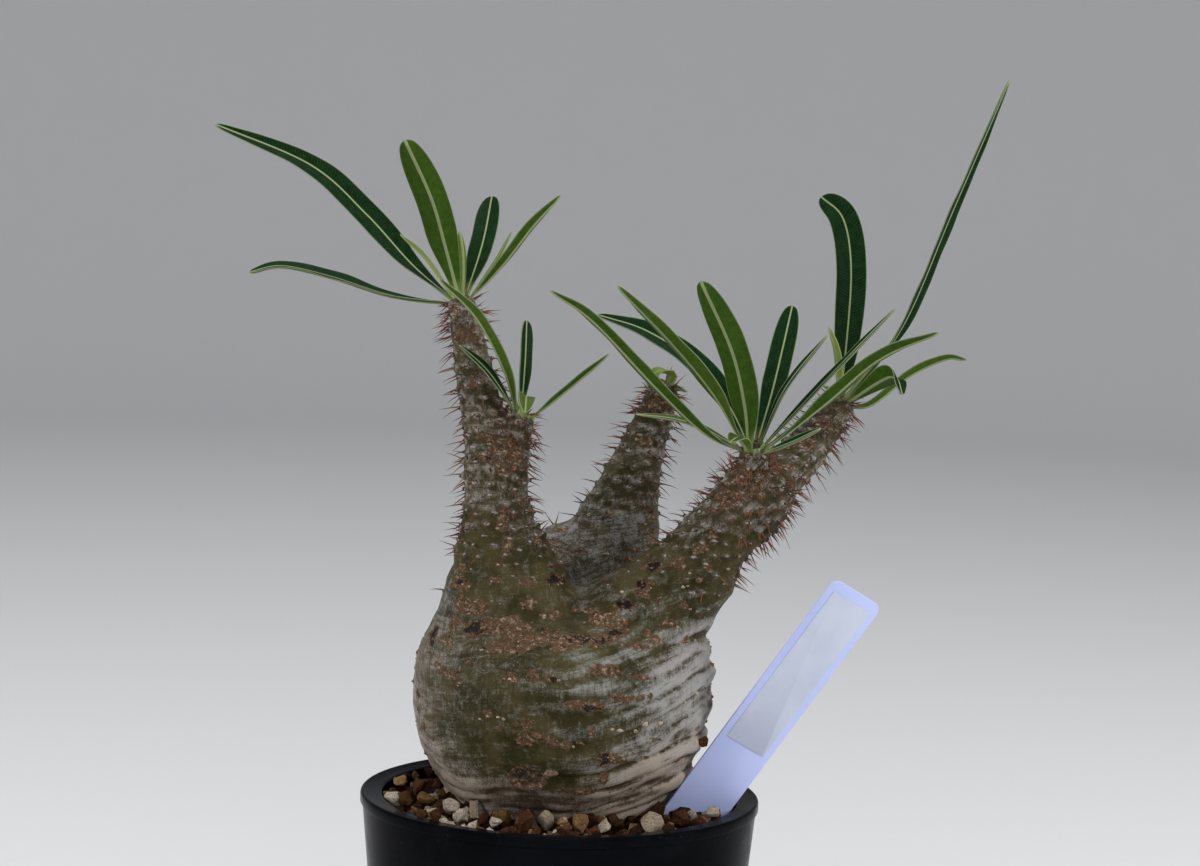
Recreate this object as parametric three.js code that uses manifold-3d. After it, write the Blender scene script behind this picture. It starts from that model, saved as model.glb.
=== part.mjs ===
// A potted Pachypodium gracilius: a swollen caudex with spiny arms, a rosette of narrow leaves on
// each growing tip, gravel soil, a black pot and a plant label.
// Millimetres, +Z up, the origin at the centre of the pot's foot, -Y towards the viewer.
import * as THREE from "three";
import { mergeVertices } from "three/addons/utils/BufferGeometryUtils.js";
import Module from "manifold-3d";

const wasm = await Module();
wasm.setup();
const vec = (x, y, z) => new THREE.Vector3(x, y, z);
const { clamp, degToRad, lerp, smoothstep } = THREE.MathUtils;

// Driving dimensions of the pot
const POT = {
  height: 105,
  rimRadius: 60,
  rimDepth: 3.4,
  rimInnerRadius: 53.5,
  footRadius: 49.5,
  wall: 2,
  floor: 2.5,
  segments: 48,
};
const DRAIN = { count: 5, radius: 4, out: 28 }; // holes through the pot's floor
const SEAT_GAP = 0.3; // between pieces that rest on or in each other

// The caudex: a body of revolution, its taproot, and arms given as [x, y, z, radius] along each
const BODY = {
  x: 0.5,
  z: 138,
  radius: 44.8,
  above: { reach: 24, power: 2.7 },
  below: { reach: 48.5, power: 2 },
};
const ROOT = [
  [0.5, 0, 97, 14],
  [0.5, 0, 76, 4.5],
];
const ARMS = {
  left: [
    [-19, -9, 150.5, 20],
    [-17, -10, 165.5, 19],
    [-19, -10, 177, 14.4],
    [-20.5, -10, 188, 10.6],
    [-21.3, -10, 198, 9],
    [-22, -10, 208, 8.3],
    [-26, -9, 220, 6.3],
    [-29, -8, 233, 5.5],
    [-33, -6, 251, 3.9],
  ],
  side: [
    [-22, -10.5, 204, 7],
    [-17, -13, 212, 5],
    [-14.5, -14, 218, 3.8],
  ],
  back: [
    [7, 20, 148, 22],
    [10.5, 22, 166, 18],
    [15, 24, 183, 13],
    [18.5, 25, 197, 9],
    [22, 27, 207, 6.8],
    [27.5, 31, 223, 4.8],
  ],
  backShoulder: [
    [9, 21, 158, 18],
    [-2.5, 23.5, 172, 11],
  ],
  right: [
    [14, -7, 153.5, 17],
    [25, -9.5, 161.5, 16.5],
    [37.5, -11.5, 175, 13],
    [43, -12, 184, 10.8],
    [53, -14, 196, 9.2],
  ],
  front: [
    [53, -14, 196, 8.6],
    [53.5, -19, 204, 5.8],
    [53.7, -22.5, 211, 4.2],
  ],
  far: [
    [55, -12, 197, 8.8],
    [63, -4, 204, 7.2],
    [71, 2, 211.5, 6.3],
    [80, 8, 223, 4.4],
  ],
};
const BODY_BLEND = 11; // width of the fillet where an arm grows out of the body
const ARM_BLEND = 6;

// Growth rings round the body, and the slow swellings that keep it from being a true spheroid
const RINGS = {
  spacing: 9.2,
  height: 0.6,
  rise: 0.0058, // the rings climb towards the right, by this times the square of the way there
  riseFrom: -4,
  fadeLow: [104, 114],
  fadeHigh: [158, 172],
};
const LUMP_HEIGHT = 1.1;

// Spines: slender three-sided cones, spread over the arms along a golden-angle spiral. The foot's
// radius is taken below the skin, where the spine is sunk into the arm.
const SPINE = { length: 6.4, footRadius: 0.95, sunk: 1.2, sides: 3 };
const SPINES_ON = {
  left: { count: 60, from: 0.26 },
  side: { count: 10, from: 0.45 },
  back: { count: 42, from: 0.42 },
  right: { count: 38, from: 0.38 },
  front: { count: 14, from: 0.35 },
  far: { count: 34, from: 0.15 },
};
const GOLDEN_ANGLE = Math.PI * (3 - Math.sqrt(5));

// Leaves, crown by crown. Each runs from the crown through its points to its tip; width is the
// blade's widest, and turn twists the blade about its own line, in degrees. A blunt leaf keeps
// its width nearly to the tip.
const CROWNS = {
  left: [
    { through: [[-48, 3, 262], [-63, 12, 276.5], [-81, 20, 290.7], [-111, 27, 302]], width: 8, turn: -50 },
    { through: [[-54, -8, 254], [-71, -11, 259], [-85.5, -14, 262], [-95, -16, 260]], width: 7, turn: -25 },
    { through: [[-38, -14, 269], [-42, -26, 284], [-49, -42, 300.7]], width: 9.3, turn: 10, blunt: true },
    { through: [[-33, -10, 265], [-34, -13, 274]], width: 3.2, turn: 15 },
    { through: [[-28, 8, 269], [-26, 22, 283]], width: 7.6, turn: 20, blunt: true },
    { through: [[-22, -10, 263.6], [-12.5, -12, 276.5], [-4.6, -13, 285.3]], width: 5, turn: -19 },
    { through: [[-24, -2, 264], [-19, 0, 274]], width: 3, turn: 0 },
    { through: [[-44, -2, 265], [-52, -4, 272]], width: 3.5, turn: 0 },
  ],
  side: [
    { through: [[-19.5, -18, 234], [-28, -25, 250], [-39, -30, 261]], width: 6.5, turn: 26 },
    { through: [[-24, -20, 233], [-33, -20, 241]], width: 4, turn: -25 },
    { through: [[-14, -10, 236], [-14, -6, 248]], width: 5, turn: 0, blunt: true },
    { through: [[-13, -24, 227], [-13, -31, 223]], width: 5.5, turn: 0 },
    { through: [[-1, -16, 229], [11, -20, 240]], width: 4, turn: -20 },
  ],
  back: [
    { through: [[22, 26, 232], [14, 24, 239]], width: 3, turn: 0 },
    { through: [[30, 28, 230], [26, 26, 231], [24, 25, 228]], width: 4.5, turn: 0 },
    { through: [[32, 28, 226], [35, 25, 225]], width: 3, turn: 0 },
  ],
  front: [
    {
      through: [[39, -26, 218.5], [24.7, -34, 231.8], [6, -42, 251], [-6.6, -45, 259.4]],
      width: 6,
      turn: 56,
    },
    { through: [[47, -13, 224], [37, -5, 236], [22, 4, 244.8], [7, 10, 248.8]], width: 8, turn: -10 },
    { through: [[42, -26, 229], [29, -32, 244.4], [12.3, -39, 261]], width: 7.5, turn: 60 },
    { through: [[50.5, -29, 226.5], [45.6, -42, 244], [35.6, -60, 264.5]], width: 9, turn: 56, blunt: true },
    { through: [[58.7, -13, 228], [62, -5, 241.3], [65, 4, 254]], width: 7.4, turn: 0, blunt: true },
    { through: [[62, -24, 231], [74, -26, 248]], width: 3.4, turn: -20 },
    { through: [[73, -22, 233], [94, -20, 256]], width: 3.6, turn: -20 },
    { through: [[73, -31, 228], [88, -38, 242.5], [104, -46, 251]], width: 7, turn: -55 },
    { through: [[64, -34, 217], [72, -40, 222]], width: 4, turn: 12 },
    { through: [[49, -36, 218], [46, -43, 217.5]], width: 5.5, turn: 0 },
    { through: [[35, -18, 220], [19, -16, 222]], width: 3, turn: 0 },
  ],
  far: [
    {
      through: [[81.7, 12, 237], [83.2, 19, 263], [80.7, 25, 279], [73.8, 29, 285.7]],
      width: 9.3,
      turn: -100,
      blunt: true,
    },
    { through: [[97.4, 4, 247.6], [111.4, 1, 284.4], [126, -2, 323]], width: 5.6, turn: -101 },
    { through: [[79, 4, 238], [76, 2, 248]], width: 3.5, turn: 0 },
    { through: [[91, -6, 233], [95, -12, 235], [97, -15, 230]], width: 8, turn: 0 },
    { through: [[89.5, 4, 225], [100.5, 1, 234.5], [111, -1, 240], [117, -2, 239.8]], width: 5, turn: 25 },
    { through: [[78, 0, 229], [74, -3, 231]], width: 2.5, turn: 0 },
  ],
};
const LEAF = { thickness: 0.8, fold: 0.16, neck: 0.26, segmentLength: 8, twistedBy: 0.35 };
const CROWN_CORE = { height: 5.5, leafHeight: 2.6, leafRadius: 1.2, segments: 10, seatDrop: 1.5 };

// Gravel soil: a filled body with stones standing out of its top
const SOIL = { top: 100.6, gap: 0.4, stones: 66, smallest: 2.7, largest: 4.7, spacing: 5.8, segments: 36 };
const HOLE_GAP = 0.7; // between the caudex and its hole in the soil
const HOLE_ROWS = [70.5, 75, 82, 88, 91, 95, 100, 105, 112];
const HOLE_SEGMENTS = 28;

// The plant label, a flat plastic stake with a blank sticker
const LABEL = {
  length: 120,
  width: 18,
  thickness: 0.8,
  corner: 3,
  pointLength: 14,
  soilPoint: [41.6, -16, 105],
  topPoint: [86.1, -23, 172.2],
  yaw: -17, // turns the face about the stake's own line
  slotGap: 0.4,
};
const STICKER = { width: 13.6, length: 54, below: 3.4, thickness: 0.3, gap: 0.05 };

// Seeded draws, the same on every run
function seeded(seed) {
  let state = seed;
  return () => {
    state = (state + 0x6d2b79f5) | 0;
    let t = Math.imul(state ^ (state >>> 15), 1 | state);
    t = (t + Math.imul(t ^ (t >>> 7), 61 | t)) ^ t;
    return ((t ^ (t >>> 14)) >>> 0) / 4294967296;
  };
}

// A closed solid from positions and triangles, faces turned outwards
function solidOf(positions, triangles) {
  const build = (triVerts) =>
    new wasm.Manifold(
      new wasm.Mesh({
        numProp: 3,
        vertProperties: Float32Array.from(positions),
        triVerts: Uint32Array.from(triVerts),
      }),
    );
  const made = build(triangles);
  if (made.volume() > 0) return made;
  const turned = [];
  for (let i = 0; i < triangles.length; i += 3)
    turned.push(triangles[i], triangles[i + 2], triangles[i + 1]);
  return build(turned);
}

function solidOfGeometry(geometry, matrix = new THREE.Matrix4()) {
  const bare = geometry.clone().applyMatrix4(matrix);
  bare.deleteAttribute("normal");
  bare.deleteAttribute("uv");
  const merged = mergeVertices(bare, 1e-4);
  const triangles = [];
  for (let i = 0; i < merged.index.count; i += 3) {
    const [a, b, c] = [0, 1, 2].map((k) => merged.index.getX(i + k));
    if (a !== b && b !== c && c !== a) triangles.push(a, b, c);
  }
  return solidOf(merged.attributes.position.array, triangles);
}

function largestBody(solid) {
  const bodies = solid.decompose();
  return bodies.reduce((a, b) => (b.volume() > a.volume() ? b : a));
}

function meshOf(name, solid, material) {
  const { vertProperties, triVerts } = solid.getMesh();
  const geometry = new THREE.BufferGeometry();
  geometry.setAttribute("position", new THREE.BufferAttribute(vertProperties, 3));
  geometry.setIndex(new THREE.BufferAttribute(triVerts, 1));
  geometry.computeVertexNormals();
  const mesh = new THREE.Mesh(geometry, material);
  mesh.name = name;
  return mesh;
}

// A solid of revolution about +Z through (x, y), from [radius, z] points
function turnedSolid(profile, segments, x = 0, y = 0) {
  const geometry = new THREE.LatheGeometry(
    profile.map(([radius, z]) => new THREE.Vector2(radius, z)),
    segments,
  );
  const upright = new THREE.Matrix4().makeRotationX(Math.PI / 2).premultiply(
    new THREE.Matrix4().makeTranslation(x, y, 0),
  );
  return solidOfGeometry(geometry, upright);
}

// The matrix that carries +Y to a direction, and the origin to a point
function standing(point, direction) {
  const turn = new THREE.Quaternion().setFromUnitVectors(vec(0, 1, 0), direction);
  return new THREE.Matrix4().compose(point, turn, vec(1, 1, 1));
}

// Signed distance to the caudex, as smooth unions of its body, root and arms
function smoothMin(a, b, blend) {
  const h = Math.max(blend - Math.abs(a - b), 0) / blend;
  return Math.min(a, b) - (h * h * blend) / 4;
}

function distanceToChain(x, y, z, chain) {
  let nearest = Infinity;
  for (let i = 0; i + 1 < chain.length; i++) {
    const [ax, ay, az, ar] = chain[i];
    const [bx, by, bz, br] = chain[i + 1];
    const [ux, uy, uz] = [bx - ax, by - ay, bz - az];
    const [px, py, pz] = [x - ax, y - ay, z - az];
    const share = clamp((px * ux + py * uy + pz * uz) / (ux * ux + uy * uy + uz * uz), 0, 1);
    const apart = Math.hypot(px - share * ux, py - share * uy, pz - share * uz);
    nearest = Math.min(nearest, apart - lerp(ar, br, share));
  }
  return nearest;
}

// The body is round from above and a superellipse from the side, flatter above its widest
// height than below it
function distanceToBody(x, y, z) {
  const rise = z - BODY.z;
  const { reach, power } = rise > 0 ? BODY.above : BODY.below;
  const a = Math.max(Math.hypot(x - BODY.x, y) / BODY.radius, 1e-6);
  const b = Math.max(Math.abs(rise) / reach, 1e-6);
  const scaled = (a ** power + b ** power) ** (1 / power);
  const slope = Math.hypot(a ** (power - 1) / BODY.radius, b ** (power - 1) / reach);
  return ((scaled - 1) * scaled ** (power - 1)) / slope;
}

function relief(x, y, z) {
  const fade =
    smoothstep(z, ...RINGS.fadeLow) * (1 - smoothstep(z, ...RINGS.fadeHigh));
  if (fade === 0) return 0;
  const around = Math.atan2(y, x - BODY.x);
  const wander = 1.3 * Math.sin(2 * around + 0.6) + 0.8 * Math.sin(5 * around + 2);
  const rise = RINGS.rise * Math.max(x - RINGS.riseFrom, 0) ** 2;
  const strength = lerp(0.2, 1, smoothstep(Math.cos(around + 0.2), 0, 0.9));
  const rings = strength * Math.sin((2 * Math.PI * (z - rise + wander)) / RINGS.spacing);
  const lumps =
    Math.sin(0.11 * x + 0.05 * z) * Math.sin(0.1 * y + 1) + 0.6 * Math.sin(0.09 * z + 3 * around);
  return fade * (RINGS.height * rings + LUMP_HEIGHT * lumps * 0.7);
}

function distanceToCaudex(x, y, z) {
  let body = smoothMin(distanceToBody(x, y, z), distanceToChain(x, y, z, ROOT), ARM_BLEND);
  body -= relief(x, y, z);
  const limb = Object.values(ARMS)
    .map((chain) => distanceToChain(x, y, z, chain))
    .reduce((a, b) => smoothMin(a, b, ARM_BLEND));
  return smoothMin(body, limb, BODY_BLEND);
}

function caudexNormal(p) {
  const e = 0.2;
  const at = (dx, dy, dz) => distanceToCaudex(p.x + dx, p.y + dy, p.z + dz);
  return vec(
    at(e, 0, 0) - at(-e, 0, 0),
    at(0, e, 0) - at(0, -e, 0),
    at(0, 0, e) - at(0, 0, -e),
  ).normalize();
}

// Grid lines from one end to the other, with a step for each stretch: [[end, step], ...]
function gridLines(start, stretches) {
  const lines = [start];
  for (const [end, step] of stretches) {
    const from = lines[lines.length - 1];
    const count = Math.ceil((end - from) / step);
    for (let i = 1; i <= count; i++) lines.push(lerp(from, end, i / count));
  }
  return lines;
}

// The zero surface of a distance function on a grid: a vertex in each crossed cell, a quad
// round each crossed grid edge
function surfaceOf(distance, xs, ys, zs) {
  const [nx, ny, nz] = [xs.length, ys.length, zs.length];
  const at = (i, j, k) => (k * ny + j) * nx + i;
  const values = new Float64Array(nx * ny * nz);
  for (let k = 0; k < nz; k++)
    for (let j = 0; j < ny; j++)
      for (let i = 0; i < nx; i++) values[at(i, j, k)] = distance(xs[i], ys[j], zs[k]);

  const corners = [0, 1, 2, 3, 4, 5, 6, 7].map((c) => [c & 1, (c >> 1) & 1, c >> 2]);
  const edges = [];
  for (let a = 0; a < 8; a++)
    for (const bit of [1, 2, 4]) if (!(a & bit)) edges.push([a, a | bit]);

  const positions = [];
  const cellVertex = new Map();
  function vertexOfCell(i, j, k) {
    const key = at(i, j, k);
    if (cellVertex.has(key)) return cellVertex.get(key);
    const points = corners.map(([a, b, c]) => ({
      place: vec(xs[i + a], ys[j + b], zs[k + c]),
      value: values[at(i + a, j + b, k + c)],
    }));
    const sum = vec(0, 0, 0);
    let crossings = 0;
    for (const [a, b] of edges) {
      const [p, q] = [points[a], points[b]];
      if (p.value < 0 === q.value < 0) continue;
      sum.add(p.place.clone().lerp(q.place, p.value / (p.value - q.value)));
      crossings++;
    }
    sum.divideScalar(crossings);
    cellVertex.set(key, positions.length / 3);
    positions.push(sum.x, sum.y, sum.z);
    return positions.length / 3 - 1;
  }

  const triangles = [];
  const steps = [
    [1, 0, 0],
    [0, 1, 0],
    [0, 0, 1],
  ];
  const pointAt = (v) => vec(positions[3 * v], positions[3 * v + 1], positions[3 * v + 2]);
  function addQuad(quad, inwards) {
    const [a, b, c, d] = inwards ? quad.toReversed() : quad;
    if (pointAt(a).distanceTo(pointAt(c)) < pointAt(b).distanceTo(pointAt(d)))
      triangles.push(a, b, c, a, c, d);
    else triangles.push(a, b, d, b, c, d);
  }
  for (let k = 1; k < nz - 1; k++)
    for (let j = 1; j < ny - 1; j++)
      for (let i = 1; i < nx - 1; i++)
        steps.forEach(([dx, dy, dz], axis) => {
          const here = values[at(i, j, k)] < 0;
          if (here === values[at(i + dx, j + dy, k + dz)] < 0) return;
          const [u, v] = [steps[(axis + 1) % 3], steps[(axis + 2) % 3]];
          const quad = [[0, 0], [1, 0], [1, 1], [0, 1]].map(([m, n]) =>
            vertexOfCell(i - m * u[0] - n * v[0], j - m * u[1] - n * v[1], k - m * u[2] - n * v[2]),
          );
          addQuad(quad, !here);
        });
  return solidOf(positions, triangles);
}

// A point along a chain, the direction of the chain there and its radius, at a share of its length
function alongChain(chain, share) {
  const points = chain.map(([x, y, z]) => vec(x, y, z));
  const lengths = points.slice(1).map((p, i) => p.distanceTo(points[i]));
  let left = share * lengths.reduce((a, b) => a + b, 0);
  let i = 0;
  while (i < lengths.length - 1 && left > lengths[i]) left -= lengths[i++];
  const part = clamp(left / lengths[i], 0, 1);
  return {
    point: points[i].clone().lerp(points[i + 1], part),
    direction: points[i + 1].clone().sub(points[i]).normalize(),
    radius: lerp(chain[i][3], chain[i + 1][3], part),
  };
}

// One spine, the foot sunk into the arm
function spineSolid(point, direction, length) {
  const { footRadius, sunk, sides } = SPINE;
  const profile = [
    [0, -sunk],
    [footRadius, -sunk],
    [0, length],
  ].map(([r, h]) => new THREE.Vector2(r, h));
  return solidOfGeometry(new THREE.LatheGeometry(profile, sides), standing(point, direction));
}

function spinesOf(name, random) {
  const spines = [];
  const { count, from } = SPINES_ON[name];
  for (let i = 0; i < count; i++) {
    const { point, direction, radius } = alongChain(ARMS[name], lerp(from, 0.95, (i + 0.5) / count));
    const side = vec(0, 1, 0).cross(direction).normalize();
    const outward = side.applyAxisAngle(direction, i * GOLDEN_ANGLE + 0.4 * random());
    const length = SPINE.length * lerp(0.7, 1.15, random());
    let reach = 0.5 * radius;
    while (reach < 2.6 * radius) {
      const here = point.clone().addScaledVector(outward, reach);
      const apart = distanceToCaudex(here.x, here.y, here.z);
      if (apart > -0.02) break;
      reach += Math.max(-0.7 * apart, 0.02);
    }
    if (reach >= 2.6 * radius) continue;
    const foot = point.clone().addScaledVector(outward, reach);
    const leaning = caudexNormal(foot)
      .addScaledVector(direction, lerp(-0.25, 0.25, random()))
      .normalize();
    spines.push(spineSolid(foot, leaning, length));
  }
  return spines;
}

// The flat seat that is cut on each growing tip, a little below the arm's end
function tipOf(name) {
  const { point, direction, radius } = alongChain(ARMS[name], 1);
  return { point: point.addScaledVector(direction, -CROWN_CORE.seatDrop), direction, radius };
}

function tipCutter(name) {
  const { point, direction, radius } = tipOf(name);
  const depth = 3 * radius;
  const geometry = new THREE.CylinderGeometry(2 * radius, 2 * radius, depth, 12);
  geometry.translate(0, depth / 2, 0);
  return solidOfGeometry(geometry, standing(point, direction));
}

// The blade's width at a share of its length, as a share of its widest
function bladeWidth(share, blunt) {
  const rise = lerp(LEAF.neck, 1, smoothstep(share, 0, 0.45));
  if (blunt) return rise * Math.sqrt(Math.max(1 - Math.max((share - 0.62) / 0.38, 0) ** 3, 0.012));
  return rise * (1 - 0.78 * Math.max((share - 0.5) / 0.5, 0) ** 2.3);
}

// A leaf blade as a solid: rings of three points over three, lofted from its neck to its tip
function leafSolid(tip, leaf) {
  const { point, direction: axis } = tip;
  const end = vec(...leaf.through.at(-1));
  const outward = end.clone().sub(point);
  outward.addScaledVector(axis, -outward.dot(axis)).normalize();
  const neck = point
    .clone()
    .addScaledVector(axis, CROWN_CORE.leafHeight)
    .addScaledVector(outward, CROWN_CORE.leafRadius);
  const points = [neck, ...leaf.through.map((p) => vec(...p))];
  const line = new THREE.CatmullRomCurve3(points, false, "catmullrom", 0.5);
  const rings = clamp(Math.round(line.getLength() / LEAF.segmentLength), 4, 12);
  const across = axis.clone().cross(outward);

  const positions = [];
  for (let i = 0; i <= rings; i++) {
    const share = i / rings;
    const along = line.getTangent(share);
    const side = across.clone().addScaledVector(along, -across.dot(along)).normalize();
    side.applyAxisAngle(along, degToRad(leaf.turn) * smoothstep(share, 0, LEAF.twistedBy));
    const up = along.clone().cross(side);
    const half = (leaf.width / 2) * bladeWidth(share, leaf.blunt);
    const lift = LEAF.fold * half * 2;
    const place = (u, v) =>
      line.getPoint(share).addScaledVector(side, u).addScaledVector(up, v).toArray();
    const t = LEAF.thickness / 2;
    positions.push(...place(-half, lift + t), ...place(0, t), ...place(half, lift + t));
    positions.push(...place(half, lift - t), ...place(0, -t), ...place(-half, lift - t));
  }
  const triangles = [];
  for (let i = 0; i < rings; i++)
    for (let c = 0; c < 6; c++) {
      const [a, b] = [6 * i + c, 6 * i + ((c + 1) % 6)];
      const [d, e] = [a + 6, b + 6];
      // Both faces are split the same way, so that a curved blade's faces can't cross
      if (c < 3 && c !== 2) triangles.push(a, b, d, b, e, d);
      else triangles.push(a, b, e, a, e, d);
    }
  for (const [start, flip] of [[0, true], [6 * rings, false]])
    for (const cap of [[0, 1, 4], [0, 4, 5], [1, 2, 3], [1, 3, 4]]) {
      const [a, b, c] = cap.map((n) => n + start);
      triangles.push(...(flip ? [a, c, b] : [a, b, c]));
    }
  return solidOf(positions, triangles);
}

function crownSolid(name) {
  const tip = tipOf(name);
  const { height, segments } = CROWN_CORE;
  const r = 0.92 * tip.radius;
  const profile = [
    [0, SEAT_GAP],
    [r, SEAT_GAP],
    [0.95 * r, 0.35 * height],
    [0.55 * r, 0.8 * height],
    [0, height],
  ].map(([radius, h]) => new THREE.Vector2(radius, h));
  const core = solidOfGeometry(
    new THREE.LatheGeometry(profile, segments),
    standing(tip.point, tip.direction),
  );
  const leaves = CROWNS[name].map((leaf) => leafSolid(tip, leaf));
  return largestBody(wasm.Manifold.union([core, ...leaves]));
}

// The caudex with its spines. A spine that would touch a leaf or the label is left out.
function caudexSolid(others) {
  const skin = surfaceOf(
    distanceToCaudex,
    gridLines(-51.7, [[-36.4, 5.5], [34, 4.4], [94, 4]]),
    gridLines(-50.7, [[-28, 5.5], [36, 4.4], [51, 5.5]]),
    gridLines(61.3, [[101, 6.2], [170, 2.87], [262, 4]]),
  );
  const cutters = Object.keys(CROWNS).map(tipCutter);
  const stem = cutters.reduce((solid, cutter) => solid.subtract(cutter), skin);
  const random = seeded(11);
  const spines = Object.keys(SPINES_ON)
    .flatMap((name) => spinesOf(name, random))
    .filter((spine) => others.every((other) => spine.intersect(other).isEmpty()));
  return largestBody(wasm.Manifold.union([stem, ...spines]));
}

// The pot: a tapered wall with a flat rim, and drain holes through its floor
const wallRadius = (z) => lerp(POT.footRadius, POT.rimRadius - 0.7, z / (POT.height - POT.rimDepth));

function potSolid() {
  const { height, rimRadius, rimDepth, rimInnerRadius, footRadius, wall, floor, segments } = POT;
  const lipLow = height - rimDepth;
  const body = turnedSolid(
    [
      [0, 0],
      [footRadius - 0.8, 0],
      [footRadius, 0.8],
      [wallRadius(lipLow), lipLow],
      [rimRadius, lipLow + 0.5],
      [rimRadius, height - 0.7],
      [rimRadius - 0.8, height],
      [rimInnerRadius + 0.4, height - 0.5],
      [rimInnerRadius, height - 0.9],
      [rimInnerRadius, lipLow],
      [wallRadius(lipLow - 3) - wall, lipLow - 3],
      [wallRadius(floor) - wall, floor],
      [0, floor],
    ],
    segments,
  );
  const drains = [];
  for (let i = 0; i < DRAIN.count; i++) {
    const around = (2 * Math.PI * (i + 0.5)) / DRAIN.count;
    const place = vec(DRAIN.out * Math.cos(around), DRAIN.out * Math.sin(around), floor / 2);
    const hole = new THREE.CylinderGeometry(DRAIN.radius, DRAIN.radius, 4 * floor, 12);
    drains.push(solidOfGeometry(hole, standing(place, vec(0, 0, 1))));
  }
  return drains.reduce((solid, drain) => solid.subtract(drain), body);
}

// The space inside the pot, less the gap that the soil keeps to it
function insideOfPot() {
  const { height, rimDepth, rimInnerRadius, wall, floor } = POT;
  const lipLow = height - rimDepth;
  const under = lipLow - 3.5;
  return turnedSolid(
    [
      [0, floor + SEAT_GAP],
      [wallRadius(floor) - wall - SOIL.gap, floor + SEAT_GAP],
      [wallRadius(under) - wall - SOIL.gap, under],
      [rimInnerRadius - SOIL.gap, lipLow - 1],
      [rimInnerRadius - SOIL.gap, height + 10],
      [0, height + 10],
    ],
    SOIL.segments,
  );
}

// The plain hole that the caudex stands in: round, and at each height a little wider than the
// caudex is at its widest
function caudexHole() {
  const widestAt = (z) => {
    let widest = 0;
    for (let around = 0; around < 2 * Math.PI; around += Math.PI / 12) {
      let [inside, outside] = [0, POT.rimRadius];
      while (outside - inside > 0.05) {
        const r = (inside + outside) / 2;
        const there = distanceToCaudex(BODY.x + r * Math.cos(around), r * Math.sin(around), z);
        if (there < 0) inside = r;
        else outside = r;
      }
      widest = Math.max(widest, outside);
    }
    return widest;
  };
  const rows = HOLE_ROWS.map((z) => [widestAt(z) + HOLE_GAP, z]);
  const profile = [[0, HOLE_ROWS[0]], ...rows, [0, HOLE_ROWS.at(-1)]];
  return turnedSolid(profile, HOLE_SEGMENTS, BODY.x, 0);
}

// An angular stone: a box with its corners pushed about
function stoneSolid(place, size, random) {
  const geometry = new THREE.BoxGeometry(1.5 * size, 1.5 * size, 1.3 * size);
  const position = geometry.attributes.position;
  const corners = new Map();
  for (let i = 0; i < position.count; i++) {
    const p = vec(position.getX(i), position.getY(i), position.getZ(i));
    const key = p.toArray().map(Math.sign).join();
    if (!corners.has(key)) corners.set(key, vec(random(), random(), random()).multiplyScalar(0.5));
    p.multiply(corners.get(key).clone().addScalar(0.7));
    position.setXYZ(i, p.x, p.y, p.z);
  }
  const turn = new THREE.Quaternion().setFromEuler(
    new THREE.Euler(6.3 * random(), 6.3 * random(), 6.3 * random()),
  );
  return solidOfGeometry(geometry, new THREE.Matrix4().compose(place, turn, vec(1, 1, 1)));
}

function soilSolid(labelSlot) {
  const random = seeded(5);
  const ground = turnedSolid(
    [[0, 0], [POT.rimRadius, 0], [POT.rimRadius, SOIL.top], [0, SOIL.top]],
    SOIL.segments,
  );
  const bed = ground.intersect(insideOfPot());
  const places = [];
  for (let tries = 0; tries < 4000 && places.length < SOIL.stones; tries++) {
    const around = 2 * Math.PI * random();
    const out = Math.sqrt(lerp(29 ** 2, (POT.rimInnerRadius - 2) ** 2, random()));
    const size = lerp(SOIL.smallest, SOIL.largest, random() ** 1.4);
    const place = vec(out * Math.cos(around), out * Math.sin(around), SOIL.top + 0.25 * size);
    if (places.every((other) => other.place.distanceTo(place) > SOIL.spacing))
      places.push({ place, size });
  }
  const stones = places.map(({ place, size }) => stoneSolid(place, size, random));
  const heap = wasm.Manifold.union([bed, ...stones]).intersect(insideOfPot());
  return largestBody(heap.subtract(caudexHole()).subtract(labelSlot));
}

// The label's own axes: along it, across it and out of its face
function labelMatrix() {
  const [soil, top] = [vec(...LABEL.soilPoint), vec(...LABEL.topPoint)];
  const along = top.clone().sub(soil).normalize();
  const face = vec(0, -1, 0);
  face.addScaledVector(along, -face.dot(along)).normalize();
  face.applyAxisAngle(along, degToRad(-LABEL.yaw));
  const across = along.clone().cross(face);
  return new THREE.Matrix4().makeBasis(across, along, face).setPosition(top);
}

// The stake's outline, from its top edge at y = 0 down to its point; grown widens it all round
function labelSolid(grown = 0) {
  const { length, width, thickness, corner, pointLength } = LABEL;
  const half = width / 2 + grown;
  const outline = new THREE.Shape();
  outline.moveTo(0, -length - grown);
  outline.lineTo(half, -length + pointLength);
  outline.lineTo(half, -corner);
  outline.absarc(half - corner, -corner, corner, 0, Math.PI / 2);
  outline.lineTo(-half + corner, 0);
  outline.absarc(-half + corner, -corner, corner, Math.PI / 2, Math.PI);
  outline.lineTo(-half, -length + pointLength);
  outline.closePath();
  const geometry = new THREE.ExtrudeGeometry(outline, {
    depth: thickness + 2 * grown,
    bevelEnabled: false,
    curveSegments: 4,
  });
  geometry.translate(0, 0, -thickness - grown);
  return solidOfGeometry(geometry, labelMatrix());
}

function stickerSolid() {
  const { width, length, below, thickness, gap } = STICKER;
  const geometry = new THREE.BoxGeometry(width, length, thickness);
  geometry.translate(0, -below - length / 2, gap + thickness / 2);
  return solidOfGeometry(geometry, labelMatrix());
}

// Materials
const material = (color, roughness) =>
  new THREE.MeshStandardMaterial({ color, roughness, metalness: 0 });
const POT_BLACK = material(0x101114, 0.3);
const SOIL_BROWN = material(0x6b4a2c, 0.95);
const BARK = material(0x7d7a68, 0.8);
const LEAF_GREEN = material(0x2f5a1c, 0.5);
const LABEL_LILAC = material(0xa3a6d4, 0.45);
const STICKER_SILVER = material(0xb9bfce, 0.4);

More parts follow.
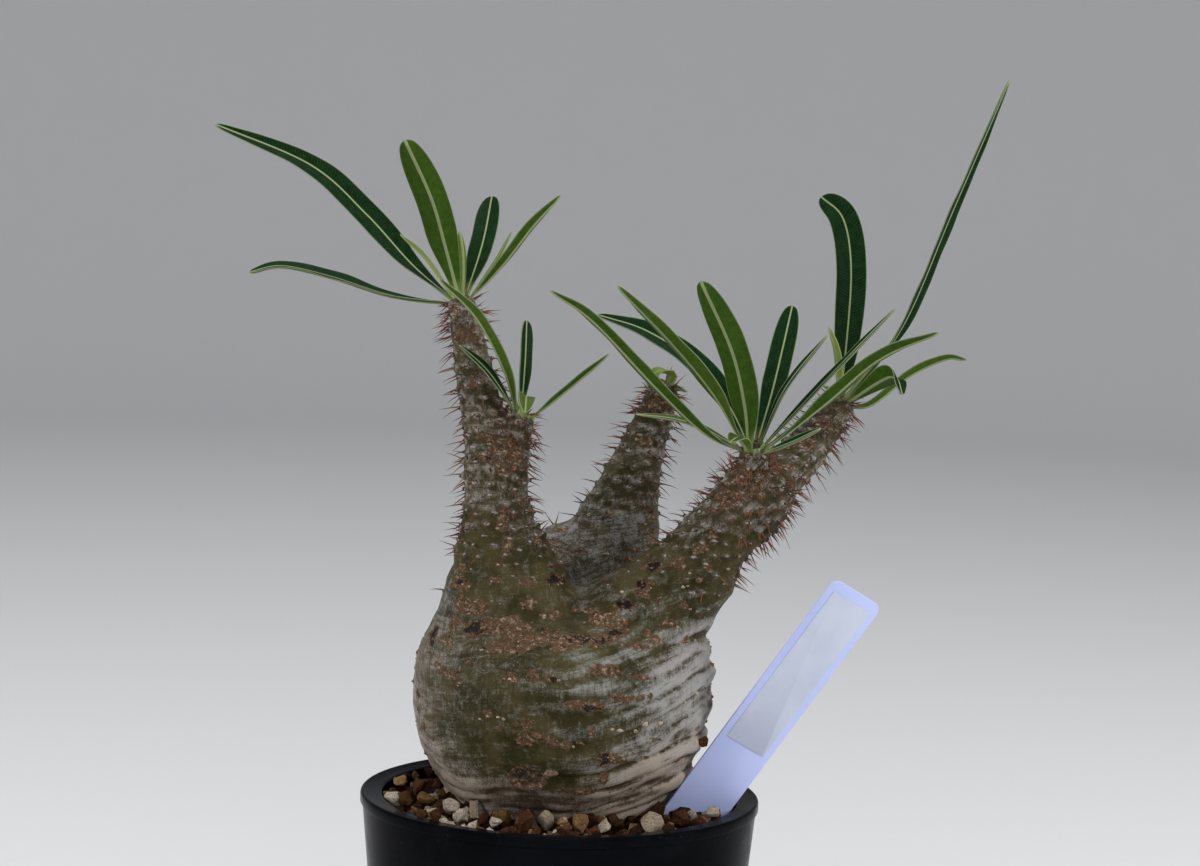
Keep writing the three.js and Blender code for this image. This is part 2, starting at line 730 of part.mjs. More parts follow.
const plant = new THREE.Group();
plant.name = "potted_pachypodium";
const crowns = Object.fromEntries(Object.keys(CROWNS).map((name) => [name, crownSolid(name)]));
const stake = labelSolid();
plant.add(meshOf("pot", potSolid(), POT_BLACK));
plant.add(meshOf("soil", soilSolid(labelSolid(LABEL.slotGap)), SOIL_BROWN));
plant.add(meshOf("caudex", caudexSolid([...Object.values(crowns), stake]), BARK));
for (const [name, solid] of Object.entries(crowns))
  plant.add(meshOf(`crown_${name}`, solid, LEAF_GREEN));
plant.add(meshOf("label_stake", stake, LABEL_LILAC));
plant.add(meshOf("label_sticker", stickerSolid(), STICKER_SILVER));

export default plant;
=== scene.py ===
"""Looks of a potted Pachypodium gracilius: fine skin, spines, leaves, gravel, pot and label.

Sizes are in millimetres and turned into metres where a mesh is made. The frame is the part's
own: +Z up, the origin at the centre of the pot's foot, -Y towards the viewer.
"""

import math

import bmesh
import bpy
import numpy as np
from mathutils import Matrix, Vector
from mathutils.bvhtree import BVHTree
from mathutils.kdtree import KDTree


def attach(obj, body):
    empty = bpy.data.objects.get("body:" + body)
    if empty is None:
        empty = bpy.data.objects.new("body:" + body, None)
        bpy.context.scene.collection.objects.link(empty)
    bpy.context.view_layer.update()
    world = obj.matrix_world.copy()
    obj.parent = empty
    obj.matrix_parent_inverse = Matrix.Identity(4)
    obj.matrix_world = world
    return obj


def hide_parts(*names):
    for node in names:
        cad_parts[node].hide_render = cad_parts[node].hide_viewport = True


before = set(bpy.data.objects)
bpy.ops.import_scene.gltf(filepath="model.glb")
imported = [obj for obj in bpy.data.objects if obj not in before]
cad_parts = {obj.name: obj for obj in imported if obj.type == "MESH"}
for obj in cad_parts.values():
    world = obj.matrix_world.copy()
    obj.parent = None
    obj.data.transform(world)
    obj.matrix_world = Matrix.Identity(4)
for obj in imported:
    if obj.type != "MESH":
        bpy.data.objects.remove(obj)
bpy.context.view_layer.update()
MM = 0.001

# The view of the photograph, its size in pixels, and one of its pixels at the plant
CAMERA = {"place": (8.83, -988.18, 322.24), "pitch": 6.23, "roll": 1.78, "lens": 100, "sensor": 36}
PHOTO = (1200, 866)
PIXEL = 0.3

# The pot and the soil
POT = {
    "height": 105, "rim": 60, "rim_depth": 3.4, "rim_inner": 53.5, "foot": 49.5, "wall": 2,
    "floor": 2.5, "taper_to": 59.3, "sides": 144,
}
DRAIN = {"count": 5, "radius": 4, "out": 28, "sides": 32}
SOIL_TOP = 100.6

# The caudex: a body of revolution, its taproot, and arms given as [x, y, z, radius] along each.
# Above and below its widest height the body has a reach and a power of its own.
BODY = {"x": 0.5, "z": 138, "radius": 44.8, "above": (24, 2.7), "below": (48.5, 2)}
ROOT = [[0.5, 0, 97, 14], [0.5, 0, 76, 4.5]]
ARMS = {
    "left": [
        [-19, -9, 150.5, 20], [-17, -10, 165.5, 19], [-19, -10, 177, 14.4],
        [-20.5, -10, 188, 10.6], [-21.3, -10, 198, 9], [-22, -10, 208, 8.3],
        [-26, -9, 220, 6.3], [-29, -8, 233, 5.5], [-33, -6, 251, 3.9],
    ],
    "side": [[-22, -10.5, 204, 7], [-17, -13, 212, 5], [-14.5, -14, 218, 3.8]],
    "back": [
        [7, 20, 148, 22], [10.5, 22, 166, 18], [15, 24, 183, 13],
        [18.5, 25, 197, 9], [22, 27, 207, 6.8], [27.5, 31, 223, 4.8],
    ],
    "backShoulder": [[9, 21, 158, 18], [-2.5, 23.5, 172, 11]],
    "right": [
        [14, -7, 153.5, 17], [25, -9.5, 161.5, 16.5], [37.5, -11.5, 175, 13],
        [43, -12, 184, 10.8], [53, -14, 196, 9.2],
    ],
    "front": [[53, -14, 196, 8.6], [53.5, -19, 204, 5.8], [53.7, -22.5, 211, 4.2]],
    "far": [[55, -12, 197, 8.8], [63, -4, 204, 7.2], [71, 2, 211.5, 6.3], [80, 8, 223, 4.4]],
}
BODY_BLEND = 11
ARM_BLEND = 6
# Growth rings round the body, and the waves that each wanders in: height, number and start
RINGS = {
    "spacing": 9.2, "height": 0.6, "rise": 0.0058, "rise_from": -4,
    "fade_low": (104, 114), "fade_high": (158, 172), "wander": ((1.3, 2, 0.6), (0.8, 5, 2)),
}
# How far in front of the right side the rings are strongest, in radians
RIGHT_TURN = 0.2
LUMP_HEIGHT = 0.77
SKIN_BOTTOM = 97
SKIN_BOX = ((-48, -49, SKIN_BOTTOM - 3), (88, 49, 258))
SKIN_STEP = 0.85
# The grid that finds the skin is worked out roughly in blocks of this many steps to a side, and
# fully only this near to the surface
GRID_BLOCK = 4
GRID_NEAR = 6
SLOPE_STEP = 0.15

# Leaves, crown by crown: the points after the neck, the widest width, the turn in degrees and,
# where they differ from a pointed old leaf, whether the tip is blunt and how young the leaf is
CROWNS = {
    "left": [
        ([[-48, 3, 262], [-63, 12, 276.5], [-81, 20, 290.7], [-111, 27, 302]], 8, -50),
        ([[-54, -8, 254], [-71, -11, 259], [-85.5, -14, 262], [-95, -16, 260]], 7, -25),
        ([[-38, -14, 269], [-42, -26, 284], [-49, -42, 300.7]], 9.3, 10, True),
        ([[-33, -10, 265], [-34, -13, 274]], 3.2, 15, False, 0.4),
        ([[-28, 8, 269], [-26, 22, 283]], 7.6, 20, True),
        ([[-22, -10, 263.6], [-12.5, -12, 276.5], [-4.6, -13, 285.3]], 5, -19),
        ([[-24, -2, 264], [-19, 0, 274]], 3, 0, False, 0.5),
        ([[-44, -2, 265], [-52, -4, 272]], 3.5, 0, False, 0.9),
    ],
    "side": [
        ([[-19.5, -18, 234], [-28, -25, 250], [-39, -30, 261]], 6.5, 26, False, 0.1),
        ([[-24, -20, 233], [-33, -20, 241]], 4, -25),
        ([[-14, -10, 236], [-14, -6, 248]], 5, 0, True),
        ([[-13, -24, 227], [-13, -31, 223]], 5.5, 0, False, 0.3),
        ([[-1, -16, 229], [11, -20, 240]], 4, -20),
    ],
    "back": [
        ([[22, 26, 232], [14, 24, 239]], 3, 0, False, 0.7),
        ([[30, 28, 230], [26, 26, 231], [24, 25, 228]], 4.5, 0, False, 0.7),
        ([[32, 28, 226], [35, 25, 225]], 3, 0, False, 0.5),
    ],
    "front": [
        ([[39, -26, 218.5], [24.7, -34, 231.8], [6, -42, 251], [-6.6, -45, 259.4]], 6, 56),
        ([[47, -13, 224], [37, -5, 236], [22, 4, 244.8], [7, 10, 248.8]], 8, -10),
        ([[42, -26, 229], [29, -32, 244.4], [12.3, -39, 261]], 7.5, 60, False, 0.1),
        ([[50.5, -29, 226.5], [45.6, -42, 244], [35.6, -60, 264.5]], 9, 56, True),
        ([[58.7, -13, 228], [62, -5, 241.3], [65, 4, 254]], 7.4, 0, True),
        ([[62, -24, 231], [74, -26, 248]], 3.4, -20),
        ([[73, -22, 233], [94, -20, 256]], 3.6, -20),
        ([[73, -31, 228], [88, -38, 242.5], [104, -46, 251]], 7, -55),
        ([[64, -34, 217], [72, -40, 222]], 4, 12),
        ([[49, -36, 218], [46, -43, 217.5]], 5.5, 0, False, 0.2),
        ([[35, -18, 220], [19, -16, 222]], 3, 0, False, 0.2),
    ],
    "far": [
        ([[81.7, 12, 237], [83.2, 19, 263], [80.7, 25, 279], [73.8, 29, 285.7]], 9.3, -100, True),
        ([[97.4, 4, 247.6], [111.4, 1, 284.4], [126, -2, 323]], 5.6, -101),
        ([[79, 4, 238], [76, 2, 248]], 3.5, 0, False, 0.9),
        ([[91, -6, 233], [95, -12, 235], [97, -15, 230]], 8, 0),
        ([[89.5, 4, 225], [100.5, 1, 234.5], [111, -1, 240], [117, -2, 239.8]], 5, 25, False, 0.1),
        ([[78, 0, 229], [74, -3, 231]], 2.5, 0, False, 0.5),
    ],
}
# The groove along a leaf's midrib and the rib under it are given as height and half width
LEAF = {
    "fold": 0.32, "neck": 0.26, "widest_from": 0.45, "twisted_by": 0.35, "half_thickness": 0.3,
    "step": 1.3, "least_rows": 12, "groove": (0.14, 0.4), "rib": (0.45, 0.45),
}
CROWN = {"leaf_height": 2.6, "leaf_radius": 1.2, "seat_drop": 1.5, "young_leaves": 7, "bristles": 110}
GOLDEN_ANGLE = math.pi * (3 - math.sqrt(5))

# The label
LABEL = {
    "length": 120, "width": 18, "thickness": 0.8, "corner": 3, "point": 14,
    "soil_point": (41.6, -16, 105), "top_point": (86.1, -23, 172.2), "yaw": -17, "bevel": 0.18,
}
STICKER = {
    "width": 13.6, "length": 54, "below": 3.4, "corner": 0.6, "front": 0.17, "back": 0.02,
    "bevel": 0.03,
}

# What the front of the skin shows, by kind, in pixels of the photograph: x, y, half width and
# half height
MARKS = {
    "cork": [
        (460, 568, 5, 5), (459, 583, 9, 7), (494, 580, 8, 4), (469, 605, 14, 9), (530, 583, 10, 4),
        (455, 624, 5, 10), (504, 626, 26, 10), (560, 641, 36, 9), (584, 612, 13, 3), (596, 616, 5, 8),
        (608, 622, 15, 11), (555, 615, 6, 5), (544, 615, 5, 3), (528, 604, 8, 6), (447, 639, 8, 7),
        (506, 649, 18, 6), (561, 650, 6, 4), (467, 660, 3, 3), (437, 665, 3, 4), (443, 671, 6, 5),
        (454, 675, 5, 5), (459, 683, 3, 3), (509, 678, 10, 5), (531, 676, 6, 6), (598, 669, 5, 5),
        (418, 694, 2, 6), (419, 710, 2, 3), (489, 714, 6, 4), (527, 724, 5, 5), (516, 724, 4, 3),
        (515, 732, 4, 2), (500, 729, 3, 3), (525, 741, 8, 6), (537, 735, 5, 3), (551, 743, 6, 5),
        (566, 745, 8, 4), (580, 743, 4, 3), (592, 731, 3, 4), (582, 705, 22, 5), (581, 791, 17, 3),
        (433, 738, 3, 2), (424, 726, 3, 4), (677, 564, 6, 5), (646, 588, 7, 10), (699, 580, 4, 3),
        (709, 568, 4, 4), (635, 645, 4, 5), (647, 636, 4, 8), (653, 641, 6, 4), (669, 623, 10, 3),
        (683, 604, 4, 3), (685, 639, 4, 3), (609, 672, 15, 6), (641, 678, 6, 3), (625, 698, 15, 5),
        (649, 697, 3, 3), (657, 739, 5, 2), (695, 728, 4, 3), (616, 759, 9, 5), (603, 780, 4, 9),
        (644, 756, 4, 2), (679, 759, 3, 4), (502, 520, 6, 12), (506, 545, 5, 8), (536, 540, 4, 5),
        (487, 458, 13, 5), (505, 470, 10, 6), (466, 336, 12, 8), (560, 530, 4, 4), (728, 500, 12, 12),
        (700, 548, 8, 6), (712, 536, 5, 4), (502, 446, 15, 10), (488, 437, 7, 6), (517, 458, 9, 8),
        (742, 478, 11, 12), (733, 500, 10, 7), (755, 492, 6, 9), (800, 442, 12, 9), (822, 424, 9, 8),
        (779, 468, 9, 7), (657, 404, 8, 9), (643, 440, 7, 6), (474, 380, 6, 8),
    ],
    "bark": [
        (477, 628, 12, 8), (583, 640, 18, 7), (542, 631, 5, 4), (553, 631, 4, 3), (614, 634, 9, 4),
        (590, 708, 15, 3), (554, 680, 6, 4), (434, 636, 4, 10), (604, 759, 5, 8), (483, 649, 4, 3),
        (460, 582, 4, 3), (528, 604, 3, 3), (637, 593, 3, 3), (564, 579, 3, 4), (644, 648, 4, 3),
    ],
    "pit": [
        (653, 566, 8, 5), (641, 584, 4, 6), (626, 606, 9, 5), (557, 580, 6, 6), (476, 459, 3, 2),
        (486, 459, 4, 3), (490, 469, 2, 2),
    ],
    "bump": [
        (488, 716, 4, 3), (498, 717, 3, 3), (504, 719, 3, 3), (480, 719, 2, 2), (492, 601, 2, 2),
        (510, 679, 4, 2), (622, 592, 4, 3), (690, 573, 3, 2), (683, 587, 3, 3), (688, 586, 2, 2),
        (693, 593, 3, 3), (690, 609, 2, 2), (677, 627, 2, 2), (695, 640, 2, 2), (663, 667, 2, 2),
        (685, 665, 2, 2), (700, 665, 2, 2), (620, 730, 5, 3), (635, 731, 4, 3), (645, 724, 5, 4),
        (659, 723, 4, 3), (612, 729, 3, 2), (697, 693, 3, 2), (685, 702, 2, 2), (606, 554, 4, 3),
        (498, 565, 4, 2),
    ],
}
BIG_SCAR = {"pixel": (528, 778), "wide": 5.4, "tall": 3.9, "depth": 0.75}
SCAR_LEDGE = {"pixel": (550, 773), "wide": 2.7, "tall": 1.1, "out": 0.9}

# Stones that show in front: pixel x and y of the middle, half width in pixels, and kind, where 0
# is brown, 1 is tan and 2 is cream; and a small brown one that is stuck to the caudex
FRONT_STONES = [
    (392, 781, 10, 1), (404, 774, 6, 1), (420, 786, 12, 0), (429, 772, 8, 0), (436, 786, 8, 0),
    (405, 800, 12, 0), (425, 799, 10, 1), (443, 793, 8, 1), (452, 807, 11, 2), (461, 816, 11, 2),
    (477, 811, 11, 2), (484, 819, 9, 0), (501, 817, 11, 1), (496, 823, 8, 2), (524, 821, 13, 0),
    (523, 812, 6, 1), (547, 820, 13, 2), (569, 821, 8, 1), (581, 823, 12, 1), (592, 821, 7, 2),
    (605, 826, 8, 2), (620, 825, 8, 0), (630, 818, 8, 0), (651, 823, 14, 2), (656, 814, 14, 0),
    (682, 818, 11, 0), (672, 800, 5, 0), (678, 786, 4, 2),
]
STUCK_STONE = {"pixel": (700, 742), "out": 1.2, "size": 1.9}


def smoothstep(x, low, high):
    t = np.clip((np.asarray(x, float) - low) / (high - low), 0, 1)
    return t * t * (3 - 2 * t)


def fade(x, low, high):
    """1 up to low, and 0 from high on."""
    return 1 - smoothstep(x, low, high)


def bell(x, middle, width):
    """1 at the middle, falling off on both sides of it."""
    return np.exp(-(((x - middle) / width) ** 2))


def lerp(a, b, t):
    return a + (b - a) * t


def unit(vectors):
    vectors = np.asarray(vectors, float)
    return vectors / np.maximum(np.linalg.norm(vectors, axis=-1, keepdims=True), 1e-9)


def turned(vectors, axes, angles):
    """Each vector turned about its unit axis by its angle."""
    angles = np.asarray(angles, float)[..., None]
    along = np.sum(axes * vectors, axis=-1, keepdims=True)
    return (
        vectors * np.cos(angles)
        + np.cross(axes, vectors) * np.sin(angles)
        + axes * along * (1 - np.cos(angles))
    )


def angles_round(count):
    return 2 * np.pi * np.arange(count) / count


def on_ellipse(angle, across, up):
    """The place at one or more angles of an ellipse with the given half axes."""
    return np.multiply.outer(np.cos(angle), across) + np.multiply.outer(np.sin(angle), up)


def tangents(normal):
    """The level direction to the right on a surface, and the one up it."""
    level = unit(np.cross([0.02, 0.1, 1.0], normal))
    return level, np.cross(normal, level)


def view_axes():
    """The photograph's right, up and forward directions."""
    pitch, roll = math.radians(CAMERA["pitch"]), math.radians(CAMERA["roll"])
    level, rise = np.array([1.0, 0, 0]), np.array([0, math.sin(pitch), math.cos(pitch)])
    forward = np.array([0, math.cos(pitch), -math.sin(pitch)])
    return on_ellipse(roll, level, rise), on_ellipse(roll, rise, -level), forward


def sight(x, y):
    """The direction from the camera through a pixel of the photograph."""
    right, up, forward = view_axes()
    focal = CAMERA["lens"] / CAMERA["sensor"] * PHOTO[0]
    return unit(forward + (x - PHOTO[0] / 2) / focal * right + (PHOTO[1] / 2 - y) / focal * up)


# Noise

PRIMES = np.array([73856093, 19349663, 83492791])


def hashed(cell, seed):
    """A number from 0 to 1 for each cell of a grid."""
    n = np.bitwise_xor.reduce(cell * PRIMES, axis=1) ^ (seed * 40503 + 7)
    n = (n ^ (n >> 13)) * 1274126177
    n = n ^ (n >> 16)
    return (n & 0xFFFFFF) / 0x1000000


def noise(points, size, seed=0):
    """Smooth noise from -1 to 1, its features about size across; size may differ by axis."""
    places = points / np.asarray(size, float)
    cell = np.floor(places).astype(np.int64)
    part = places - cell
    part = part * part * (3 - 2 * part)
    total = np.zeros(len(points))
    for corner in range(8):
        step = np.array([corner & 1, corner >> 1 & 1, corner >> 2])
        weight = np.prod(np.where(step, part, 1 - part), axis=1)
        total += weight * hashed(cell + step, seed)
    return 2 * total - 1


def noises(points, *layers):
    """Noises added up, each given as its height, its size and its seed."""
    return sum(height * noise(points, size, seed) for height, size, seed in layers)


# The caudex as a signed distance

def smooth_min(a, b, blend):
    h = np.maximum(blend - np.abs(a - b), 0) / blend
    return np.minimum(a, b) - h * h * blend / 4


def distance_to_chain(p, chain):
    nearest = np.full(len(p), np.inf)
    for (*a, a_radius), (*b, b_radius) in zip(chain, chain[1:]):
        run = np.subtract(b, a)
        share = np.clip((p - a) @ run / (run @ run), 0, 1)
        apart = np.linalg.norm(p - a - share[:, None] * run, axis=1)
        nearest = np.minimum(nearest, apart - lerp(a_radius, b_radius, share))
    return nearest


def distance_to_body(p):
    """Round from above, and a superellipse from the side that is flatter above than below."""
    rise = p[:, 2] - BODY["z"]
    radius = BODY["radius"]
    reach, power = (np.where(rise > 0, a, b) for a, b in zip(BODY["above"], BODY["below"]))
    out = np.maximum(np.hypot(p[:, 0] - BODY["x"], p[:, 1]) / radius, 1e-6)
    high = np.maximum(np.abs(rise) / reach, 1e-6)
    scaled = (out**power + high**power) ** (1 / power)
    slope = np.hypot(out ** (power - 1) / radius, high ** (power - 1) / reach)
    return (scaled - 1) * scaled ** (power - 1) / slope


def around_body(p):
    """The angle round the body from its right side."""
    return np.arctan2(p[:, 1], p[:, 0] - BODY["x"])


def on_right(p, low, high):
    """1 on the side where the rings are strong, to the right and a little to the front."""
    return smoothstep(np.cos(around_body(p) + RIGHT_TURN), low, high)


def ring_height(p):
    """A height that stays the same along a growth ring: they wander and climb to the right."""
    around = around_body(p)
    wander = sum(high * np.sin(count * around + start) for high, count, start in RINGS["wander"])
    rise = RINGS["rise"] * np.maximum(p[:, 0] - RINGS["rise_from"], 0) ** 2
    return p[:, 2] - rise + wander


def relief(p):
    """How far growth rings and broad lumps raise the body."""
    x, y, z = p.T
    shown = smoothstep(z, *RINGS["fade_low"]) * fade(z, *RINGS["fade_high"])
    strength = lerp(0.2, 1, on_right(p, 0, 0.9))
    rings = strength * np.sin(2 * np.pi * ring_height(p) / RINGS["spacing"])
    lumps = np.sin(0.11 * x + 0.05 * z) * np.sin(0.1 * y + 1)
    lumps += 0.6 * np.sin(0.09 * z + 3 * around_body(p))
    return shown * (RINGS["height"] * rings + LUMP_HEIGHT * lumps)


def distance_to_caudex(p):
    body = smooth_min(distance_to_body(p), distance_to_chain(p, ROOT), ARM_BLEND) - relief(p)
    limb = np.full(len(p), np.inf)
    for chain in ARMS.values():
        limb = smooth_min(limb, distance_to_chain(p, chain), ARM_BLEND)
    return smooth_min(body, limb, BODY_BLEND)


def clipped_caudex(p):
    return np.maximum(distance_to_caudex(p), SKIN_BOTTOM - p[:, 2])


def caudex_normals(p):
    slope = np.empty_like(p)
    for axis in range(3):
        step = np.zeros(3)
        step[axis] = SLOPE_STEP
        slope[:, axis] = distance_to_caudex(p + step) - distance_to_caudex(p - step)
    return unit(slope)


def grid_values(distance, low, counts, step):
    """The distance on a grid, worked out only near the surface and roughly elsewhere."""
    axes = [low[a] + step * np.arange(counts[a]) for a in range(3)]
    coarse_axes = [axis.reshape(-1, GRID_BLOCK).mean(axis=1) for axis in axes]
    coarse = np.stack(np.meshgrid(*coarse_axes, indexing="ij"), axis=-1)
    values = distance(coarse.reshape(-1, 3)).reshape(coarse.shape[:3])
    for axis in range(3):
        values = values.repeat(GRID_BLOCK, axis)
    spots = np.argwhere(np.abs(values) < GRID_NEAR)
    places = np.stack([axes[a][spots[:, a]] for a in range(3)], axis=1)
    values[tuple(spots.T)] = distance(places)
    return values


def surface_net(distance, low, high, step):
    """The zero surface as (vertices, quads): a vertex in each crossed cell, a quad round each
    crossed grid edge."""
    counts = [math.ceil((high[a] - low[a]) / step / GRID_BLOCK) * GRID_BLOCK for a in range(3)]
    values = grid_values(distance, low, counts, step)
    inside = values < 0
    strides = np.array([counts[1] * counts[2], counts[2], 1])
    cells, points, quads = [], [], []
    for axis in range(3):
        lower, upper = [slice(None)] * 3, [slice(None)] * 3
        lower[axis], upper[axis] = slice(None, -1), slice(1, None)
        crossed = np.argwhere(inside[tuple(lower)] != inside[tuple(upper)])
        crossed = crossed[(crossed > 0).all(axis=1)]
        after = crossed.copy()
        after[:, axis] += 1
        a, b = values[tuple(crossed.T)], values[tuple(after.T)]
        place = crossed.astype(float)
        place[:, axis] += a / (a - b)
        u, v = strides[(axis + 1) % 3], strides[(axis + 2) % 3]
        cell = crossed @ strides
        around = np.stack([cell, cell - u, cell - u - v, cell - v], axis=1)
        cells.append(around.ravel())
        points.append(place.repeat(4, axis=0))
        quads.append(np.where((a < 0)[:, None], around, around[:, ::-1]))
    cells, points, quads = (np.concatenate(part) for part in (cells, points, quads))
    names, index = np.unique(cells, return_inverse=True)
    count = np.bincount(index)
    vertices = np.stack([np.bincount(index, points[:, a]) / count for a in range(3)], axis=1)
    return np.array(low) + step * vertices, np.searchsorted(names, quads)


# Meshes and pieces

def add_object(name, data):
    made = bpy.data.objects.new(name, data)
    bpy.context.scene.collection.objects.link(made)
    return made


def make_piece(name, vertices, faces, material, replaces=(), attributes=None):
    """A smooth mesh object from millimetre vertices that rides on the part's one body."""
    mesh = bpy.data.meshes.new(name)
    faces = faces.tolist() if isinstance(faces, np.ndarray) else faces
    mesh.from_pydata((np.asarray(vertices) * MM).tolist(), [], faces)
    mesh.materials.append(material)
    for key, values in (attributes or {}).items():
        kind, field = ("FLOAT_VECTOR", "vector") if np.ndim(values) == 2 else ("FLOAT", "value")
        layer = mesh.attributes.new(key, kind, "POINT")
        layer.data.foreach_set(field, np.asarray(values, np.float32).ravel())
    mesh.shade_smooth()
    mesh.update()
    piece = add_object(name, mesh)
    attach(piece, "root")
    if replaces:
        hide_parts(*replaces)
    return piece


class Heap:
    """Gathers small meshes into one, with their attributes."""

    def __init__(self):
        self.vertices, self.faces, self.attributes, self.count = [], [], {}, 0

    def add(self, vertices, faces, **attributes):
        self.vertices.append(np.asarray(vertices, float))
        self.faces += [tuple(i + self.count for i in face) for face in faces]
        for key, value in attributes.items():
            if np.ndim(value) == 0:
                value = np.full(len(vertices), float(value))
            self.attributes.setdefault(key, []).append(value)
        self.count += len(vertices)

    def piece(self, name, material, slot, replaces=()):
        attributes = {key: np.concatenate(values) for key, values in self.attributes.items()}
        vertices = np.concatenate(self.vertices)
        return make_piece(name, vertices, self.faces, material, replaces, attributes)


def ring_points(profile, sides):
    """Vertices of a turned form, ring by ring, from its profile of (radius, height)."""
    angles = angles_round(sides)
    return [(r * math.cos(a), r * math.sin(a), z) for r, z in profile for a in angles]


def ring_quads(rings, sides, first=0):
    """Quads between the rings of a tube whose vertices start at an index."""
    faces = []
    for start in range(first, first + (rings - 1) * sides, sides):
        for k in range(sides):
            a, b = start + k, start + (k + 1) % sides
            faces.append((a, b, b + sides, a + sides))
    return faces


def fan(pole, start, sides):
    """Triangles from a pole to the ring of vertices that starts at an index."""
    return [(pole, start + k, start + (k + 1) % sides) for k in range(sides)]


def closed_tube(rings, sides):
    """Quads round a tube of rings, and its two ends closed."""
    last = (rings - 1) * sides
    ends = [tuple(range(sides))[::-1], tuple(range(last, last + sides))]
    return ring_quads(rings, sides) + ends


def apply_modifiers(piece):
    graph = bpy.context.evaluated_depsgraph_get()
    made = bpy.data.meshes.new_from_object(piece.evaluated_get(graph))
    piece.modifiers.clear()
    piece.data = made


def sharpen(piece, degrees):
    """Smooth shading, with edges steeper than the angle kept sharp."""
    piece.data.shade_smooth()
    piece.data.set_sharp_from_angle(angle=math.radians(degrees))


# Shaders

class Shader:
    """A material with a Principled shader, and short calls for the nodes that feed it."""

    def __init__(self, name, specular):
        self.material = bpy.data.materials.new(name)
        self.material.use_nodes = True
        self.tree = self.material.node_tree
        self.inputs = self.tree.nodes["Principled BSDF"].inputs
        self.inputs["Specular IOR Level"].default_value = specular
        self.place = self.node("TexCoord", {})["Object"]

    def put(self, socket, value):
        if isinstance(value, bpy.types.NodeSocket):
            self.tree.links.new(value, socket)
        elif socket.type == "RGBA":
            socket.default_value = (*value, 1)
        else:
            socket.default_value = value

    def node(self, kind, inputs, **settings):
        """The outputs of a new node, with a number, a colour or a link for each input."""
        made = self.tree.nodes.new("ShaderNode" + kind)
        for key, value in settings.items():
            setattr(made, key, value)
        for key, value in inputs.items():
            self.put(made.inputs[key], value)
        return made.outputs

    def math(self, operation, a, b=0.0):
        return self.node("Math", {0: a, 1: b}, operation=operation)[0]

    def times(self, a, b):
        return self.math("MULTIPLY", a, b)

    def plus(self, a, b, by=1):
        return self.math("ADD", a, self.times(b, by))

    def shifted(self, value, *wanders):
        """The value moved up and down by noises between 0 and 1, each followed by how far."""
        for wander, by in zip(wanders[::2], wanders[1::2]):
            value = self.plus(value, self.math("SUBTRACT", wander, 0.5), by)
        return value

    def mix(self, share, a, b):
        return self.node("Mix", {0: share, 6: a, 7: b}, data_type="RGBA")[2]

    def span(self, value, low, high, to_low=0.0, to_high=1.0, kind="SMOOTHSTEP"):
        inputs = dict(enumerate((value, low, high, to_low, to_high)))
        return self.node("MapRange", inputs, interpolation_type=kind)[0]

    def coats(self, color, *coats):
        """The colour under coats, each given as its tone, the value that it goes by, the values
        where there is none and most of it, and how much most is."""
        for tone, value, none_at, most_at, *most in coats:
            share = self.span(value, none_at, most_at, 0, *most)
            color = self.mix(share, color, tone)
        return color

    def stretched(self, scale, vector=None):
        return self.node("Mapping", {"Vector": vector or self.place, "Scale": scale})[0]

    def noise(self, size, detail=3.0, roughness=0.55, vector=None, distortion=0.0):
        """Noise from 0 to 1, its features about size millimetres across."""
        inputs = {
            "Vector": vector or self.place, "Scale": 1 / (size * MM), "Detail": detail,
            "Roughness": roughness, "Distortion": distortion,
        }
        return self.node("TexNoise", inputs)["Fac"]

    def cells(self, size):
        """The distance from scattered points, about size millimetres apart."""
        return self.node("TexVoronoi", {"Vector": self.place, "Scale": 1 / (size * MM)})["Distance"]

    def attribute(self, name, output="Fac"):
        return self.node("Attribute", {}, attribute_name=name)[output]

    def finish(self, color, roughness, *bumps):
        """The material with its colour, roughness and bumps, each bump given as its height, its
        depth in millimetres and its strength."""
        normal = {}
        for height, depth, strength in bumps:
            inputs = {"Height": height, "Distance": depth * MM, "Strength": strength, **normal}
            normal = {"Normal": self.node("Bump", inputs)[0]}
        for key, value in {"Base Color": color, "Roughness": roughness, **normal}.items():
            self.put(self.inputs[key], value)
        return self.material


# Colours, as the shader takes them
OLIVE = (0.023, 0.02, 0.004)
OLIVE_LIGHT = (0.054, 0.044, 0.014)
GREY_GREEN = (0.1, 0.1, 0.066)
BLOOM_AND_HIGHLIGHT = (0.26, 0.28, 0.26)
SILVER_AND_HIGHLIGHT = (0.29, 0.275, 0.26)
BEIGE = (0.31, 0.255, 0.205)
PALE_SPECK = (0.3, 0.26, 0.2)
DUSKY = (0.075, 0.055, 0.038)
EARTHY = (0.055, 0.036, 0.022)
SHADE_AND_DARK_GRAIN = (0.035, 0.025, 0.016)
CORK = (0.1, 0.062, 0.038)
CORK_CREVICE = (0.026, 0.016, 0.011)
CORK_EDGE = (0.15, 0.078, 0.034)
CORK_RUBBED = (0.46, 0.36, 0.26)
PALE_CORK = (0.31, 0.22, 0.145)
DRIED = (0.016, 0.012, 0.011)
DRIED_CRUMB = (0.07, 0.05, 0.042)
SPINE_TONES = {
    "dark": (0.07, 0.022, 0.011), "red": (0.2, 0.07, 0.032), "tip": (0.04, 0.015, 0.01),
    "foot": (0.16, 0.1, 0.065),
}
